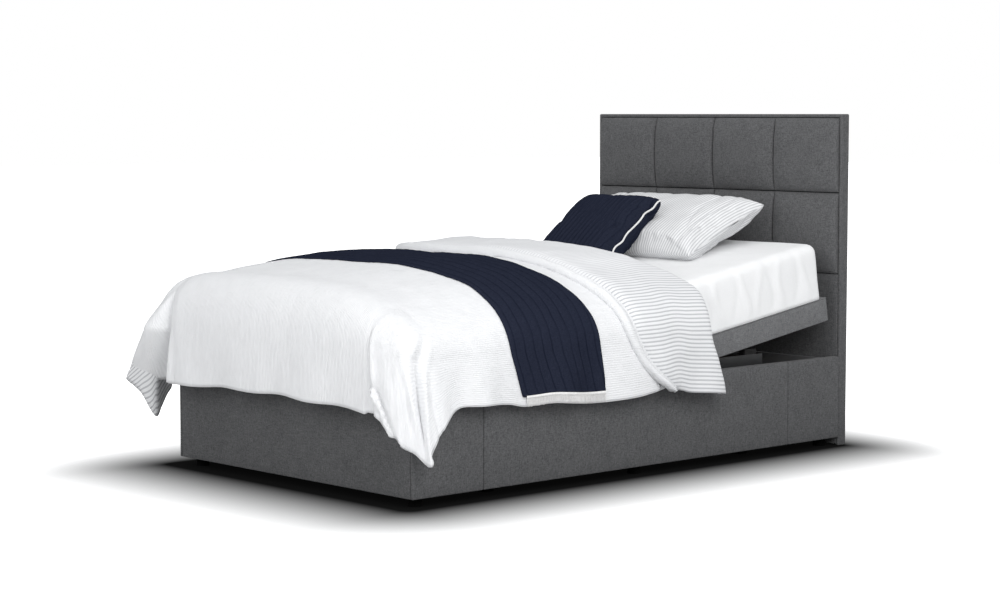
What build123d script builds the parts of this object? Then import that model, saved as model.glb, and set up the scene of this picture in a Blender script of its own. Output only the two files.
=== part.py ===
from build123d import *
from math import cos, degrees, radians, sin, tan
import os

os.makedirs("parts", exist_ok=True)

# An upholstered adjustable bed with its headboard and bedding, in millimetres.
# X runs across the bed, Y from foot to head, Z up from the floor, which the feet stand on.

# Platform sections, measured along the bed from the surround's foot face
calf_length = 540
thigh_length = 320
seat_length = 280
back_length = 821
platform_head_gap = 49
platform_foot_overhang = 10
platform_inset = 10
platform_depth = 85
skirt_thickness = 18
platform_board = 15
top_cloth = 3
back_gap = 20
leg_gap = 14
knee_cut_back = 26

# How far the back section is raised, and how far the sections swing
back_raise = 9
back_swing = 60
thigh_swing = 30

# Surround
bed_width = 1220
surround_height = 292
floor_gap = 30
surround_board = 18
padding = 12
top_padding = 10
under_wrap = 4
foot_panel_length = 289
head_panel_length = 280
panel_seam = 1.5
cover_round = 8
platform_clearance = 3
block_size = 50
block_margin = 12
foot_radius = 22

# Headboard
headboard_height = 1190
upper_row_height = 281
lower_row_height = 292
headboard_depth = 42
trim_thickness = 12
trim_round = 3
lower_padding = 10
headboard_board = 18
batten_width = 60
batten_thickness = 12
batten_inset = 160
back_cloth = 2
pad_columns = 4
pad_crown = 30
pad_column_bow = 18
pad_edge = 4
pad_seam = 2
bolt_radius = 4
bolt_hole_clearance = 0.2
bolt_head_radius = 7
bolt_head_height = 5
bolt_inset = 260
bolt_height = 200
bolt_row_spacing = 100

# Chassis
rail_width = 30
rail_height = 60
rail_wall = 3
rail_gap_to_frame = 19.5
rail_foot_setback = 300
rail_head_setback = 305
cross_size = 30
cross_wall = 2
leg_size = 30
leg_cap_height = 15
leg_cap_wall = 3
leg_setback = 100
bracket_width = 40
bracket_thickness = 5
bracket_rise = 30
bracket_drop = 45
block_length = 60
bracket_place_shares = (0.16, 0.43, 0.84)

# Section frames and their hinges
tube = 25
tube_wall = 2
frame_inset = 105
weld_line = 0.2
ear_radius = 12
ear_thickness = 6
ear_overlap = 45
tongue_play = 1
hinge_pin_radius = 5
pin_clearance = 0.05
pin_head_radius = 8
pin_head = 3
pin_head_play = 0.3
rest_play = 0.3

# Actuators and levers
actuator_offset = 150
back_lever_reach = 172.5
leg_lever_reach = 150
back_gain_share = 1.07
leg_gain_share = 1.0235
back_actuator_length = 631
leg_actuator_length = 601
motor_width = 80
motor_length = 150
motor_height = 110
motor_above_axis = 25
motor_round = 12
motor_setback = 20
tube_radius = 18
rod_radius = 10
rod_play = 0.06
back_tube_length = 290
leg_tube_length = 260
rod_hidden_length = 200
eye_width = 24
eye_radius = 15
lever_thickness = 6
lever_play = 1
drive_pin_radius = 6
slot_play = 0.8
back_slot_drift = 2.2
leg_slot_drift = 0.5
lever_wall = 9
lever_root = 40
lever_root_height = 10
control_box_size = (180, 110, 45)
control_box_inset = 175
supply_size = (160, 70, 50)
inlet_size = (24, 14, 16)
inlet_pin_radius = 1.5
inlet_pin_spacing = 10
box_round = 5

# Mattress and fitted sheet
mattress_inset = 8.3
mattress_thickness = 195
mattress_round = 50
mattress_end_round = 40
mattress_head_gap = 21
mattress_foot_overhang = 35
mattress_back_slant = 20
mattress_thigh_slant = 12
soft_clearance = 0.3
sheet_thickness = 3

# Pillow and scatter cushion
pillow_width = 780
pillow_length = 480
pillow_thickness = 140
pillow_tilt = 14
pillow_offset = -40
pillow_from_hinge = 585
pillow_rise = 79.8
cushion_width = 410
cushion_length = 400
cushion_thickness = 110
cushion_tilt = 29
cushion_offset = -80
cushion_from_hinge = 348
cushion_rise = 97.3
cushion_pleats = 19
cushion_side_share = 0.05
cushion_end_share = 0.08
pleat_depth = 3
piping_radius = 4

# Duvet, with its folded head end, and the throw across it
duvet_loft = 144.7
duvet_overhang = 45
duvet_foot_thickness = 60
duvet_foot_play = 10
duvet_side_play = 3
duvet_head_reach = 220
duvet_head_lean = 136
drape_thickness = 42
duvet_edge_share = 0.73
duvet_edge_drop = 45
shoulder_drop = 250
shoulder_bow = 36
left_hem_share = 1.03
corner_tip_drop = 140
corner_tip_share = 0.1
corner_arc_share = 0.7071
# Share of the length from the foot, of the crown, of the half width at the side and at the hem,
# and of the surround's top for the hem's height.
duvet_shares = (
    (0.0000, 0.747, 0.916, 0.977, 0.879),
    (0.0172, 0.843, 0.977, 1.026, 0.879),
    (0.0515, 0.885, 1.000, 1.053, 0.901),
    (0.1409, 0.912, 1.000, 1.015, 0.860),
    (0.2027, 0.928, 1.000, 1.031, 0.941),
    (0.3127, 0.944, 1.000, 1.020, 0.913),
    (0.3519, 0.952, 1.000, 1.008, 0.870),
    (0.4364, 0.959, 1.000, 1.026, 0.885),
    (0.5326, 0.957, 1.000, 1.008, 0.839),
    (0.5746, 0.957, 1.000, 1.017, 0.832),
    (0.6564, 0.955, 1.000, 1.026, 0.829),
    (0.6873, 0.955, 1.002, 1.020, 0.839),
    (0.7079, 0.989, 1.044, 1.053, 0.854),
    (0.7560, 0.995, 1.050, 1.066, 0.857),
    (0.8055, 0.997, 1.047, 1.053, 0.885),
    (0.8488, 1.000, 1.047, 1.060, 0.845),
    (0.9148, 0.997, 1.047, 1.056, 0.817),
    (1.0000, 0.989, 1.044, 1.050, 0.773),
)
knee_station = 7
runner_first_station = 5
runner_last_station = 9
runner_thickness = 4
fringe_length = 28
fringe_thickness = 3
overrun = 50

# Places worked out from the sizes above
knee_s = calf_length
thigh_s = knee_s + thigh_length
back_s = thigh_s + seat_length
surround_length = back_s + back_length + platform_head_gap
surround_top = floor_gap + surround_height
half_width = bed_width / 2
platform_width = bed_width - 2 * platform_inset
mattress_width = platform_width - 2 * mattress_inset
frame_half = platform_width / 2 - frame_inset
board_outer = half_width - padding
board_inner = board_outer - surround_board
platform_bottom = surround_top + platform_clearance
platform_top = platform_bottom + platform_depth
pivot_z = platform_top - top_cloth - platform_board - tube / 2
foot_reach = mattress_foot_overhang + duvet_foot_thickness
total_depth = surround_length + headboard_depth
foot_face_y = (foot_reach - total_depth) / 2
skirt_inner = platform_width / 2 - skirt_thickness
cloth_top = platform_top - pivot_z
board_top = cloth_top - top_cloth
board_bottom = board_top - platform_board
skirt_bottom = platform_bottom - pivot_z
rail_top = pivot_z - tube / 2 - rail_gap_to_frame
rail_bottom = rail_top - rail_height
rail_centre = frame_half
rail_outer_half = rail_centre + rail_width / 2
bolt_spacing = bed_width - 2 * bolt_inset
control_box_offset = frame_half - control_box_inset
duvet_half_width = half_width + duvet_overhang
duvet_crown = platform_top + soft_clearance + mattress_thickness + duvet_loft
shoulder_height = duvet_crown - shoulder_drop


def y_at(s):
    # The place along Y of a distance from the surround's foot face.
    return foot_face_y + s


def level_plane(s):
    # A level plane through a hinge line, with its Y axis towards the head.
    return Plane(origin=(0, y_at(s), pivot_z), x_dir=(1, 0, 0), z_dir=(0, 0, 1))


raise_angle = radians(back_raise)
back_normal = (0, -sin(raise_angle), cos(raise_angle))
back_plane = Plane(origin=(0, y_at(back_s), pivot_z), x_dir=(1, 0, 0), z_dir=back_normal)
seat_plane = level_plane(thigh_s)
thigh_plane = level_plane(thigh_s)
calf_plane = level_plane(knee_s)


def side_plane(section, x):
    # A plane seen from the side of a section: its X axis runs along the bed, its Y axis up.
    return Plane(
        origin=section.from_local_coords((x, 0, 0)), x_dir=section.y_dir, z_dir=section.x_dir
    )


def across_plane(y):
    # An upright plane across the bed: its X axis runs across, its Y axis up.
    return Plane(origin=(0, y, 0), x_dir=(1, 0, 0), z_dir=(0, -1, 0))


def block(x_span, y_span, z_span, mode=Mode.ADD):
    # A box between three pairs of faces.
    with Locations((sum(x_span) / 2, sum(y_span) / 2, sum(z_span) / 2)):
        Box(
            x_span[1] - x_span[0],
            y_span[1] - y_span[0],
            z_span[1] - z_span[0],
            mode=mode,
        )


def mirrored(low, high, side):
    # A span across the bed, on its right for a side of 1 and on its left for -1.
    return (low, high) if side > 0 else (-high, -low)


def tube_along(x, y_span, z, size, wall):
    # A square tube that runs along the bed, centred on x and z.
    half = size / 2
    block((x - half, x + half), y_span, (z - half, z + half))
    bore = half - wall
    long = (y_span[0] - overrun, y_span[1] + overrun)
    block((x - bore, x + bore), long, (z - bore, z + bore), Mode.SUBTRACT)


def tube_across(x_span, y, z, size, wall):
    # A square tube that runs across the bed, closed by the tubes that it is welded between.
    half = size / 2
    bore = half - wall
    block(x_span, (y - half, y + half), (z - half, z + half))
    block(x_span, (y - bore, y + bore), (z - bore, z + bore), Mode.SUBTRACT)


def side_plate(section, x, outline, thickness, mode=Mode.ADD):
    # A flat piece with an outline in a section's side view, thick across the bed.
    with BuildSketch(side_plane(section, x)) as face:
        with BuildLine():
            Polyline(*outline, close=True)
        make_face()
    extrude(face.sketch, amount=thickness, mode=mode)


def ear(section, x, thickness, pivot, end):
    # A bar with a round eye at a hinge line, which reaches along the section to an end.
    with BuildSketch(side_plane(section, x)) as face:
        with Locations(((pivot + end) / 2, 0)):
            Rectangle(abs(end - pivot), 2 * ear_radius)
        with Locations((pivot, 0)):
            Circle(ear_radius)
            Circle(hinge_pin_radius + pin_clearance, mode=Mode.SUBTRACT)
    extrude(face.sketch, amount=thickness)


def fork(section, pivot, towards, gap):
    # The two ears beside each side tube that hold a hinge pin.
    end = pivot + towards * (gap + ear_overlap)
    for side in (-1, 1):
        ear(section, side * frame_half + tube / 2 + weld_line, ear_thickness, pivot, end)
        inner = side * frame_half - tube / 2 - weld_line - ear_thickness
        ear(section, inner, ear_thickness, pivot, end)


def tongue(section, pivot, towards, gap):
    # The solid tongue on each side tube's end, which turns on the hinge pin.
    width = tube - 2 * tongue_play
    for side in (-1, 1):
        start = side * frame_half - width / 2
        ear(section, start, width, pivot, pivot + towards * (gap - weld_line))


def section_tubes(start, end, cross_places):
    # Two tubes along a section and the ones welded between them, in the section's own plane.
    for side in (-1, 1):
        tube_along(side * frame_half, (start, end), 0, tube, tube_wall)
    reach = frame_half - tube / 2 - weld_line
    for y in cross_places:
        tube_across((-reach, reach), y, 0, tube, tube_wall)


def hinge_pins(section, pivot):
    # A headed pin through the fork and tongue at each side.
    half = tube / 2 + weld_line + ear_thickness + pin_head_play
    for side in (-1, 1):
        with BuildSketch(side_plane(section, side * frame_half - half - pin_head)) as shank:
            with Locations((pivot, 0)):
                Circle(hinge_pin_radius)
        extrude(shank.sketch, amount=2 * half + 2 * pin_head)
        for start in (-half - pin_head, half):
            with BuildSketch(side_plane(section, side * frame_half + start)) as head:
                with Locations((pivot, 0)):
                    Circle(pin_head_radius)
            extrude(head.sketch, amount=pin_head)


pieces = {}

# Surround: boards, corner blocks and feet
board_low = floor_gap + under_wrap
board_high = surround_top - top_padding
board_z = (board_low, board_high)
side_board_y = (y_at(padding), y_at(surround_length))

with BuildPart() as side_board_right:
    block((board_inner, board_outer), side_board_y, board_z)
pieces["side_board_right"] = side_board_right

with BuildPart() as side_board_left:
    block((-board_outer, -board_inner), side_board_y, board_z)
pieces["side_board_left"] = side_board_left

with BuildPart() as foot_board:
    block((-board_inner, board_inner), (y_at(padding), y_at(padding + surround_board)), board_z)
pieces["foot_board"] = foot_board

bolt_places = [(side * bolt_spacing / 2, bolt_height) for side in (-1, 1)]
bolt_places += [(x, z - bolt_row_spacing) for x, z in bolt_places]
bolt_hole = bolt_radius + bolt_hole_clearance
head_rail_y = (y_at(surround_length - surround_board), y_at(surround_length))


def bolt_holes(y_span):
    # Holes along the bed for the bolts that join headboard and surround.
    with BuildSketch(across_plane(y_span[1] + overrun)) as holes:
        with Locations(*bolt_places):
            Circle(bolt_hole)
    extrude(holes.sketch, amount=y_span[1] - y_span[0] + 2 * overrun, mode=Mode.SUBTRACT)


with BuildPart() as head_rail_board:
    block((-board_inner, board_inner), head_rail_y, board_z)
    bolt_holes(head_rail_y)
pieces["head_rail_board"] = head_rail_board

foot_block_s = padding + surround_board + block_size / 2
head_block_s = surround_length - surround_board - block_size / 2
block_places = (foot_block_s, (foot_block_s + head_block_s) / 2, head_block_s)
block_x = board_inner - block_size / 2

with BuildPart() as corner_blocks:
    for side in (-1, 1):
        for s in block_places:
            x_span = mirrored(board_inner - block_size, board_inner, side)
            y_span = (y_at(s - block_size / 2), y_at(s + block_size / 2))
            block(x_span, y_span, (floor_gap, board_high - block_margin))
pieces["corner_blocks"] = corner_blocks

with BuildPart() as surround_feet:
    with BuildSketch():
        with Locations(*[(side * block_x, y_at(s)) for side in (-1, 1) for s in block_places]):
            Circle(foot_radius)
    extrude(amount=floor_gap)
pieces["surround_feet"] = surround_feet

# Padded covers, each an outer face with a lip over its board's top
seam_half = panel_seam / 2
foot_seam = foot_panel_length
head_seam = surround_length - head_panel_length
cover_panels = (
    (y_at(0), y_at(foot_seam) - seam_half),
    (y_at(foot_seam) + seam_half, y_at(head_seam) - seam_half),
    (y_at(head_seam) + seam_half, y_at(surround_length)),
)


def side_cover(side):
    for panel in cover_panels:
        block(mirrored(board_outer, half_width, side), panel, (floor_gap, surround_top))
        lip = (max(panel[0], y_at(padding)), panel[1])
        block(mirrored(board_inner, board_outer, side), lip, (board_high, surround_top))


with BuildPart() as side_cover_right:
    side_cover(1)
    top_edges = side_cover_right.edges().filter_by(Axis.Y).group_by(Axis.Z)[-1]
    fillet(top_edges.group_by(Axis.X)[-1], radius=cover_round)
pieces["side_cover_right"] = side_cover_right

with BuildPart() as side_cover_left:
    side_cover(-1)
    top_edges = side_cover_left.edges().filter_by(Axis.Y).group_by(Axis.Z)[-1]
    fillet(top_edges.group_by(Axis.X)[0], radius=cover_round)
pieces["side_cover_left"] = side_cover_left

with BuildPart() as foot_cover:
    block((-board_outer, board_outer), (y_at(0), y_at(padding)), (floor_gap, surround_top))
    lip_y = (y_at(padding), y_at(padding + surround_board))
    block((-board_inner, board_inner), lip_y, (board_high, surround_top))
    top_edges = foot_cover.edges().filter_by(Axis.X).group_by(Axis.Z)[-1]
    fillet(top_edges.group_by(Axis.Y)[0], radius=cover_round)
pieces["foot_cover"] = foot_cover

# Headboard, from its front face back: padding, board, battens and cloth
headboard_s = surround_length
trim_inner = half_width - trim_thickness
trim_z = headboard_height - trim_thickness
rows_bottom = headboard_height - upper_row_height - lower_row_height
board_front = headboard_s + lower_padding
board_back = board_front + headboard_board
batten_back = board_back + batten_thickness
trim_y = (y_at(headboard_s), y_at(headboard_s + headboard_depth))

with BuildPart() as headboard_panel:
    panel_y = (y_at(board_front), y_at(board_back))
    block((-trim_inner, trim_inner), panel_y, (under_wrap, trim_z))
    bolt_holes(panel_y)
pieces["headboard_panel"] = headboard_panel

with BuildPart() as headboard_lower_cover:
    cover_y = (y_at(headboard_s), y_at(board_front))
    block((-trim_inner, trim_inner), cover_y, (under_wrap, rows_bottom))
    bolt_holes(cover_y)
pieces["headboard_lower_cover"] = headboard_lower_cover

with BuildPart() as headboard_battens:
    for side in (-1, 1):
        x = side * (half_width - batten_inset)
        x_span = (x - batten_width / 2, x + batten_width / 2)
        block(x_span, (y_at(board_back), y_at(batten_back)), (under_wrap, trim_z))
pieces["headboard_battens"] = headboard_battens

with BuildPart() as headboard_back_cloth:
    cloth_y = (y_at(batten_back), y_at(batten_back + back_cloth))
    block((-trim_inner, trim_inner), cloth_y, (under_wrap, trim_z))
pieces["headboard_back_cloth"] = headboard_back_cloth

with BuildPart() as headboard_edge_trim:
    for side in (-1, 1):
        block(mirrored(trim_inner, half_width, side), trim_y, (0, headboard_height))
    top_x = trim_inner - weld_line
    block((-top_x, top_x), trim_y, (trim_z, headboard_height))
    front_edges = headboard_edge_trim.edges().filter_by(Axis.Z).group_by(Axis.Y)[0]
    fillet(front_edges.sort_by(Axis.X)[0], radius=trim_round)
    front_edges = headboard_edge_trim.edges().filter_by(Axis.Z).group_by(Axis.Y)[0]
    fillet(front_edges.sort_by(Axis.X)[-1], radius=trim_round)
pieces["headboard_edge_trim"] = headboard_edge_trim


def pad_row(low, high):
    # A row of padded squares: bowed in plan at each column, and bowed again up its height.
    back = y_at(board_front)
    column = 2 * trim_inner / pad_columns
    edge = lower_padding + pad_column_bow
    crown = lower_padding + pad_crown
    with BuildSketch(Plane.XY.offset(low + pad_seam / 2)) as plan:
        for index in range(pad_columns):
            left = -trim_inner + index * column + pad_seam / 2
            right = left + column - pad_seam
            with BuildLine():
                Polyline((right, back - edge), (right, back), (left, back), (left, back - edge))
                ThreePointArc(
                    (left, back - edge), ((left + right) / 2, back - crown), (right, back - edge)
                )
            make_face()
    extrude(plan.sketch, amount=high - low - pad_seam)
    rim = lower_padding + pad_edge
    with BuildSketch(side_plane(Plane.XY, -half_width)) as profile:
        with BuildLine():
            Polyline((back - rim, low), (back, low), (back, high), (back - rim, high))
            ThreePointArc(
                (back - rim, high), (back - crown, (low + high) / 2), (back - rim, low)
            )
        make_face()
    extrude(profile.sketch, amount=bed_width, mode=Mode.INTERSECT)


with BuildPart() as headboard_pads_lower:
    pad_row(rows_bottom, rows_bottom + lower_row_height)
pieces["headboard_pads_lower"] = headboard_pads_lower

with BuildPart() as headboard_pads_upper:
    pad_row(rows_bottom + lower_row_height, trim_z)
pieces["headboard_pads_upper"] = headboard_pads_upper

with BuildPart() as headboard_bolts:
    shank_end = y_at(board_back)
    shank_length = surround_board + lower_padding + headboard_board
    with BuildSketch(across_plane(shank_end)) as shanks:
        with Locations(*bolt_places):
            Circle(bolt_radius)
    extrude(shanks.sketch, amount=shank_length)
    with BuildSketch(across_plane(shank_end + bolt_head_height)) as heads:
        with Locations(*bolt_places):
            RegularPolygon(bolt_head_radius, 6)
    extrude(heads.sketch, amount=bolt_head_height)
pieces["headboard_bolts"] = headboard_bolts

# Chassis: two rails, the tubes welded between them, and the legs
rail_span = (y_at(rail_foot_setback), y_at(surround_length - rail_head_setback))
cross_z = rail_bottom + cross_size / 2
cross_reach = rail_centre - rail_width / 2 - weld_line

with BuildPart() as chassis_rails:
    for side in (-1, 1):
        x_span = (side * rail_centre - rail_width / 2, side * rail_centre + rail_width / 2)
        block(x_span, rail_span, (rail_bottom, rail_top))
        x_bore = (x_span[0] + rail_wall, x_span[1] - rail_wall)
        z_bore = (rail_bottom + rail_wall, rail_top - rail_wall)
        y_bore = (rail_span[0] - overrun, rail_span[1] + overrun)
        block(x_bore, y_bore, z_bore, Mode.SUBTRACT)
pieces["chassis_rails"] = chassis_rails

# Drive geometry: each lever's pin is kept at one height, and its lever turns about upright
back_half_swing = radians(back_swing / 2)
leg_half_swing = radians(thigh_swing / 2)
back_pin_drop = back_lever_reach * cos(back_half_swing)
leg_pin_drop = leg_lever_reach * cos(leg_half_swing)
back_rest_lean = back_half_swing - raise_angle
back_eye_s = back_s - back_pin_drop * back_gain_share * back_rest_lean
leg_eye_s = thigh_s + leg_pin_drop * leg_gain_share * leg_half_swing
back_anchor_s = back_eye_s - back_actuator_length
leg_anchor_s = leg_eye_s + leg_actuator_length
end_cross_inset = cross_size / 2

with BuildPart() as chassis_cross_members:
    foot_cross = rail_span[0] + end_cross_inset
    head_cross = rail_span[1] - end_cross_inset
    for y in (foot_cross, y_at(back_anchor_s), y_at(leg_anchor_s), head_cross):
        tube_across((-cross_reach, cross_reach), y, cross_z, cross_size, cross_wall)
pieces["chassis_cross_members"] = chassis_cross_members

leg_places = [
    (side * rail_centre, y)
    for side in (-1, 1)
    for y in (rail_span[0] + leg_setback, rail_span[1] - leg_setback)
]

with BuildPart() as chassis_legs:
    with BuildSketch(Plane.XY.offset(leg_cap_wall)):
        with Locations(*leg_places):
            Rectangle(leg_size, leg_size)
            Rectangle(leg_size - 2 * tube_wall, leg_size - 2 * tube_wall, mode=Mode.SUBTRACT)
    extrude(amount=rail_bottom - leg_cap_wall)
pieces["chassis_legs"] = chassis_legs

with BuildPart() as chassis_leg_caps:
    cap_size = leg_size + 2 * leg_cap_wall
    with BuildSketch():
        with Locations(*leg_places):
            Rectangle(cap_size, cap_size)
    extrude(amount=leg_cap_height)
    with BuildSketch(Plane.XY.offset(leg_cap_wall)):
        with Locations(*leg_places):
            Rectangle(leg_size, leg_size)
    extrude(amount=leg_cap_height - leg_cap_wall, mode=Mode.SUBTRACT)
pieces["chassis_leg_caps"] = chassis_leg_caps

with BuildPart() as chassis_brackets:
    shelf_z = (rail_bottom + bracket_thickness, rail_bottom + 2 * bracket_thickness)
    rail_face_z = (shelf_z[0], shelf_z[0] + bracket_rise)
    board_face_z = (shelf_z[1] - bracket_drop, shelf_z[1])
    rail_length = rail_span[1] - rail_span[0]
    for side in (-1, 1):
        for share in bracket_place_shares:
            y = rail_span[0] + share * rail_length
            y_span = (y - bracket_width / 2, y + bracket_width / 2)
            block(mirrored(rail_outer_half, board_inner, side), y_span, shelf_z)
            by_rail = (rail_outer_half, rail_outer_half + bracket_thickness)
            block(mirrored(*by_rail, side), y_span, rail_face_z)
            by_board = (board_inner - bracket_thickness, board_inner)
            block(mirrored(*by_board, side), y_span, board_face_z)
pieces["chassis_brackets"] = chassis_brackets

with BuildPart() as frame_rest_blocks:
    seat_places = (thigh_s + leg_gap + block_length, back_s - back_gap - block_length)
    rest_places = (
        rail_foot_setback + block_length,
        (knee_s + thigh_s) / 2,
        surround_length - rail_head_setback - block_length,
    )
    for side in (-1, 1):
        x_span = (side * frame_half - tube / 2, side * frame_half + tube / 2)
        for s in seat_places:
            y_span = (y_at(s - block_length / 2), y_at(s + block_length / 2))
            block(x_span, y_span, (rail_top, rail_top + rail_gap_to_frame))
        for s in rest_places:
            y_span = (y_at(s - block_length / 2), y_at(s + block_length / 2))
            block(x_span, y_span, (rail_top, rail_top + rail_gap_to_frame - rest_play))
pieces["frame_rest_blocks"] = frame_rest_blocks

# Section frames
thigh_cross = (-thigh_length + leg_gap + tube / 2, -leg_gap - tube / 2)
calf_end = -calf_length - platform_foot_overhang + skirt_thickness + weld_line
calf_cross = (calf_end + tube / 2, -calf_length / 2, -leg_gap - tube / 2)
seat_cross = (leg_gap + tube / 2, seat_length - back_gap - tube / 2)
back_end = back_length - skirt_thickness - weld_line
back_cross = (back_gap + tube / 2, back_length / 2, back_end - tube / 2)

with BuildPart(seat_plane) as seat_frame:
    section_tubes(leg_gap, seat_length - back_gap, seat_cross)
    fork(seat_plane, 0, 1, leg_gap)
    fork(seat_plane, seat_length, -1, back_gap)
pieces["seat_frame"] = seat_frame

with BuildPart(thigh_plane) as thigh_frame:
    section_tubes(-thigh_length + leg_gap, -leg_gap, thigh_cross)
    tongue(thigh_plane, 0, -1, leg_gap)
    fork(thigh_plane, -thigh_length, 1, leg_gap)
pieces["thigh_frame"] = thigh_frame

with BuildPart(calf_plane) as calf_frame:
    section_tubes(calf_end, -leg_gap, calf_cross)
    tongue(calf_plane, 0, -1, leg_gap)
pieces["calf_frame"] = calf_frame

with BuildPart(back_plane) as back_frame:
    section_tubes(back_gap, back_end, back_cross)
    tongue(back_plane, 0, 1, back_gap)
pieces["back_frame"] = back_frame

with BuildPart() as frame_hinge_pins:
    hinge_pins(seat_plane, 0)
    hinge_pins(seat_plane, seat_length)
pieces["frame_hinge_pins"] = frame_hinge_pins

with BuildPart() as knee_hinge_pins:
    hinge_pins(calf_plane, 0)
pieces["knee_hinge_pins"] = knee_hinge_pins

# Boards, skirts and top cloth of the sections
board_half = skirt_inner - weld_line


def section_board(y_span):
    block((-board_half, board_half), y_span, (board_bottom, board_top))


def section_cover(section, start, end, start_cut=0, end_cut=0):
    # Skirts along both sides, slanted where a knee closes below them, and cloth over the board.
    outline = (
        (start, board_top),
        (start, 0),
        (start + start_cut, skirt_bottom),
        (end - end_cut, skirt_bottom),
        (end, 0),
        (end, board_top),
    )
    side_plate(section, skirt_inner, outline, skirt_thickness)
    side_plate(section, -skirt_inner - skirt_thickness, outline, skirt_thickness)
    cloth = (board_top + weld_line, cloth_top)
    block((-platform_width / 2, platform_width / 2), (start, end), cloth)


def end_skirt(y_span):
    block((-board_half, board_half), y_span, (skirt_bottom, board_top))


calf_start = -calf_length - platform_foot_overhang

with BuildPart(seat_plane) as seat_board:
    section_board((leg_gap, seat_length - back_gap))
pieces["seat_board"] = seat_board

with BuildPart(thigh_plane) as thigh_board:
    section_board((-thigh_length + leg_gap, -leg_gap))
pieces["thigh_board"] = thigh_board

with BuildPart(calf_plane) as calf_board:
    section_board((calf_end, -leg_gap))
pieces["calf_board"] = calf_board

with BuildPart(back_plane) as back_board:
    section_board((back_gap, back_end))
pieces["back_board"] = back_board

with BuildPart(seat_plane) as seat_cover:
    section_cover(seat_plane, leg_gap, seat_length - back_gap)
pieces["seat_cover"] = seat_cover

with BuildPart(thigh_plane) as thigh_cover:
    section_cover(thigh_plane, -thigh_length + leg_gap, -leg_gap, start_cut=knee_cut_back)
pieces["thigh_cover"] = thigh_cover

with BuildPart(calf_plane) as calf_cover:
    section_cover(calf_plane, calf_start, -leg_gap, end_cut=knee_cut_back)
    end_skirt((calf_start, calf_end - weld_line))
pieces["calf_cover"] = calf_cover

with BuildPart(back_plane) as back_cover:
    section_cover(back_plane, back_gap, back_length)
    end_skirt((back_end + weld_line, back_length))
pieces["back_cover"] = back_cover

# Levers under the back and thigh frames, slotted for the pins that drive them
fork_half = eye_width / 2 + lever_play
pin_half = fork_half + lever_thickness + pin_head


def lever_plates(section, x, root, lean, reach, drop, drift):
    # Two plates from a cross tube's underside to the slot, leaning towards the head.
    radius = (reach + drop) / 2
    slot = (radius * sin(lean), -radius * cos(lean))
    slot_width = 2 * (drive_pin_radius + drift + slot_play)
    slot_length = reach - drop + 2 * (drive_pin_radius + slot_play)
    eye = max(slot_length, slot_width) / 2 + lever_wall
    root_z = -tube / 2 - weld_line - lever_root_height / 2
    slot_overall = max(slot_length, slot_width + slot_play)
    for start in (-fork_half - lever_thickness, fork_half):
        with BuildSketch(side_plane(section, x + start)) as plate:
            with Locations((root, root_z)):
                Rectangle(lever_root, lever_root_height)
            with Locations(slot):
                Circle(eye)
            make_hull()
            with Locations(Location((*slot, 0), 90 + degrees(lean))):
                SlotOverall(slot_overall, slot_width, mode=Mode.SUBTRACT)
        extrude(plate.sketch, amount=lever_thickness)


with BuildPart(back_plane) as back_lever:
    lever_plates(
        back_plane,
        actuator_offset,
        back_gap + tube / 2,
        -back_half_swing,
        back_lever_reach,
        back_pin_drop,
        back_slot_drift,
    )
pieces["back_lever"] = back_lever

with BuildPart(thigh_plane) as thigh_lever:
    lever_plates(
        thigh_plane,
        -actuator_offset,
        -leg_gap - tube / 2,
        leg_half_swing,
        leg_lever_reach,
        leg_pin_drop,
        leg_slot_drift,
    )
pieces["thigh_lever"] = thigh_lever

# Actuators: a motor hung from its bracket, a tube on the motor and a rod in the tube
back_axis_z = pivot_z - back_pin_drop
leg_axis_z = pivot_z - leg_pin_drop
motor_bottom_drop = motor_height - motor_above_axis


def axis_plane(x, s, z, towards):
    # A plane across an actuator's axis, facing the way its rod points.
    return Plane(origin=(x, y_at(s), z), x_dir=(-towards, 0, 0), z_dir=(0, towards, 0))


def motor(x, anchor, z, towards):
    start = anchor + towards * motor_setback
    end = start + towards * motor_length
    y_span = sorted((y_at(start), y_at(end)))
    z_span = (z - motor_bottom_drop, z + motor_above_axis)
    block((x - motor_width / 2, x + motor_width / 2), y_span, z_span)


def motor_eye(x, anchor, z, towards):
    # The eye at a motor's rear, on the bracket's pin.
    with BuildSketch(Plane(origin=(x - eye_width / 2, 0, 0), x_dir=(0, 1, 0), z_dir=(1, 0, 0))) as eye:
        with Locations((y_at(anchor), z)):
            Circle(eye_radius)
        with Locations((y_at(anchor + towards * motor_setback / 2), z)):
            Rectangle(motor_setback, 2 * eye_radius)
        with Locations((y_at(anchor), z)):
            Circle(drive_pin_radius + pin_clearance, mode=Mode.SUBTRACT)
    extrude(eye.sketch, amount=eye_width)


def actuator_tube(x, anchor, z, towards, length):
    start = anchor + towards * (motor_setback + motor_length)
    with BuildSketch(axis_plane(x, start, z, towards)) as ring:
        Circle(tube_radius)
        Circle(rod_radius + rod_play, mode=Mode.SUBTRACT)
    extrude(ring.sketch, amount=length)


def actuator_rod(x, eye_s, z, towards, tube_end):
    # A rod from inside its tube to an eye block with a cross pin.
    start = tube_end - towards * rod_hidden_length
    with BuildSketch(axis_plane(x, start, z, towards)) as rod:
        Circle(rod_radius)
    extrude(rod.sketch, amount=abs(eye_s - start))
    side_view = Plane(origin=(x - eye_width / 2, 0, 0), x_dir=(0, 1, 0), z_dir=(1, 0, 0))
    with BuildSketch(side_view) as eye:
        with Locations((y_at(eye_s), z)):
            Circle(eye_radius)
    extrude(eye.sketch, amount=eye_width)
    pin_view = Plane(origin=(x - pin_half, 0, 0), x_dir=(0, 1, 0), z_dir=(1, 0, 0))
    with BuildSketch(pin_view) as pin:
        with Locations((y_at(eye_s), z)):
            Circle(drive_pin_radius)
    extrude(pin.sketch, amount=2 * pin_half)


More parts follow.
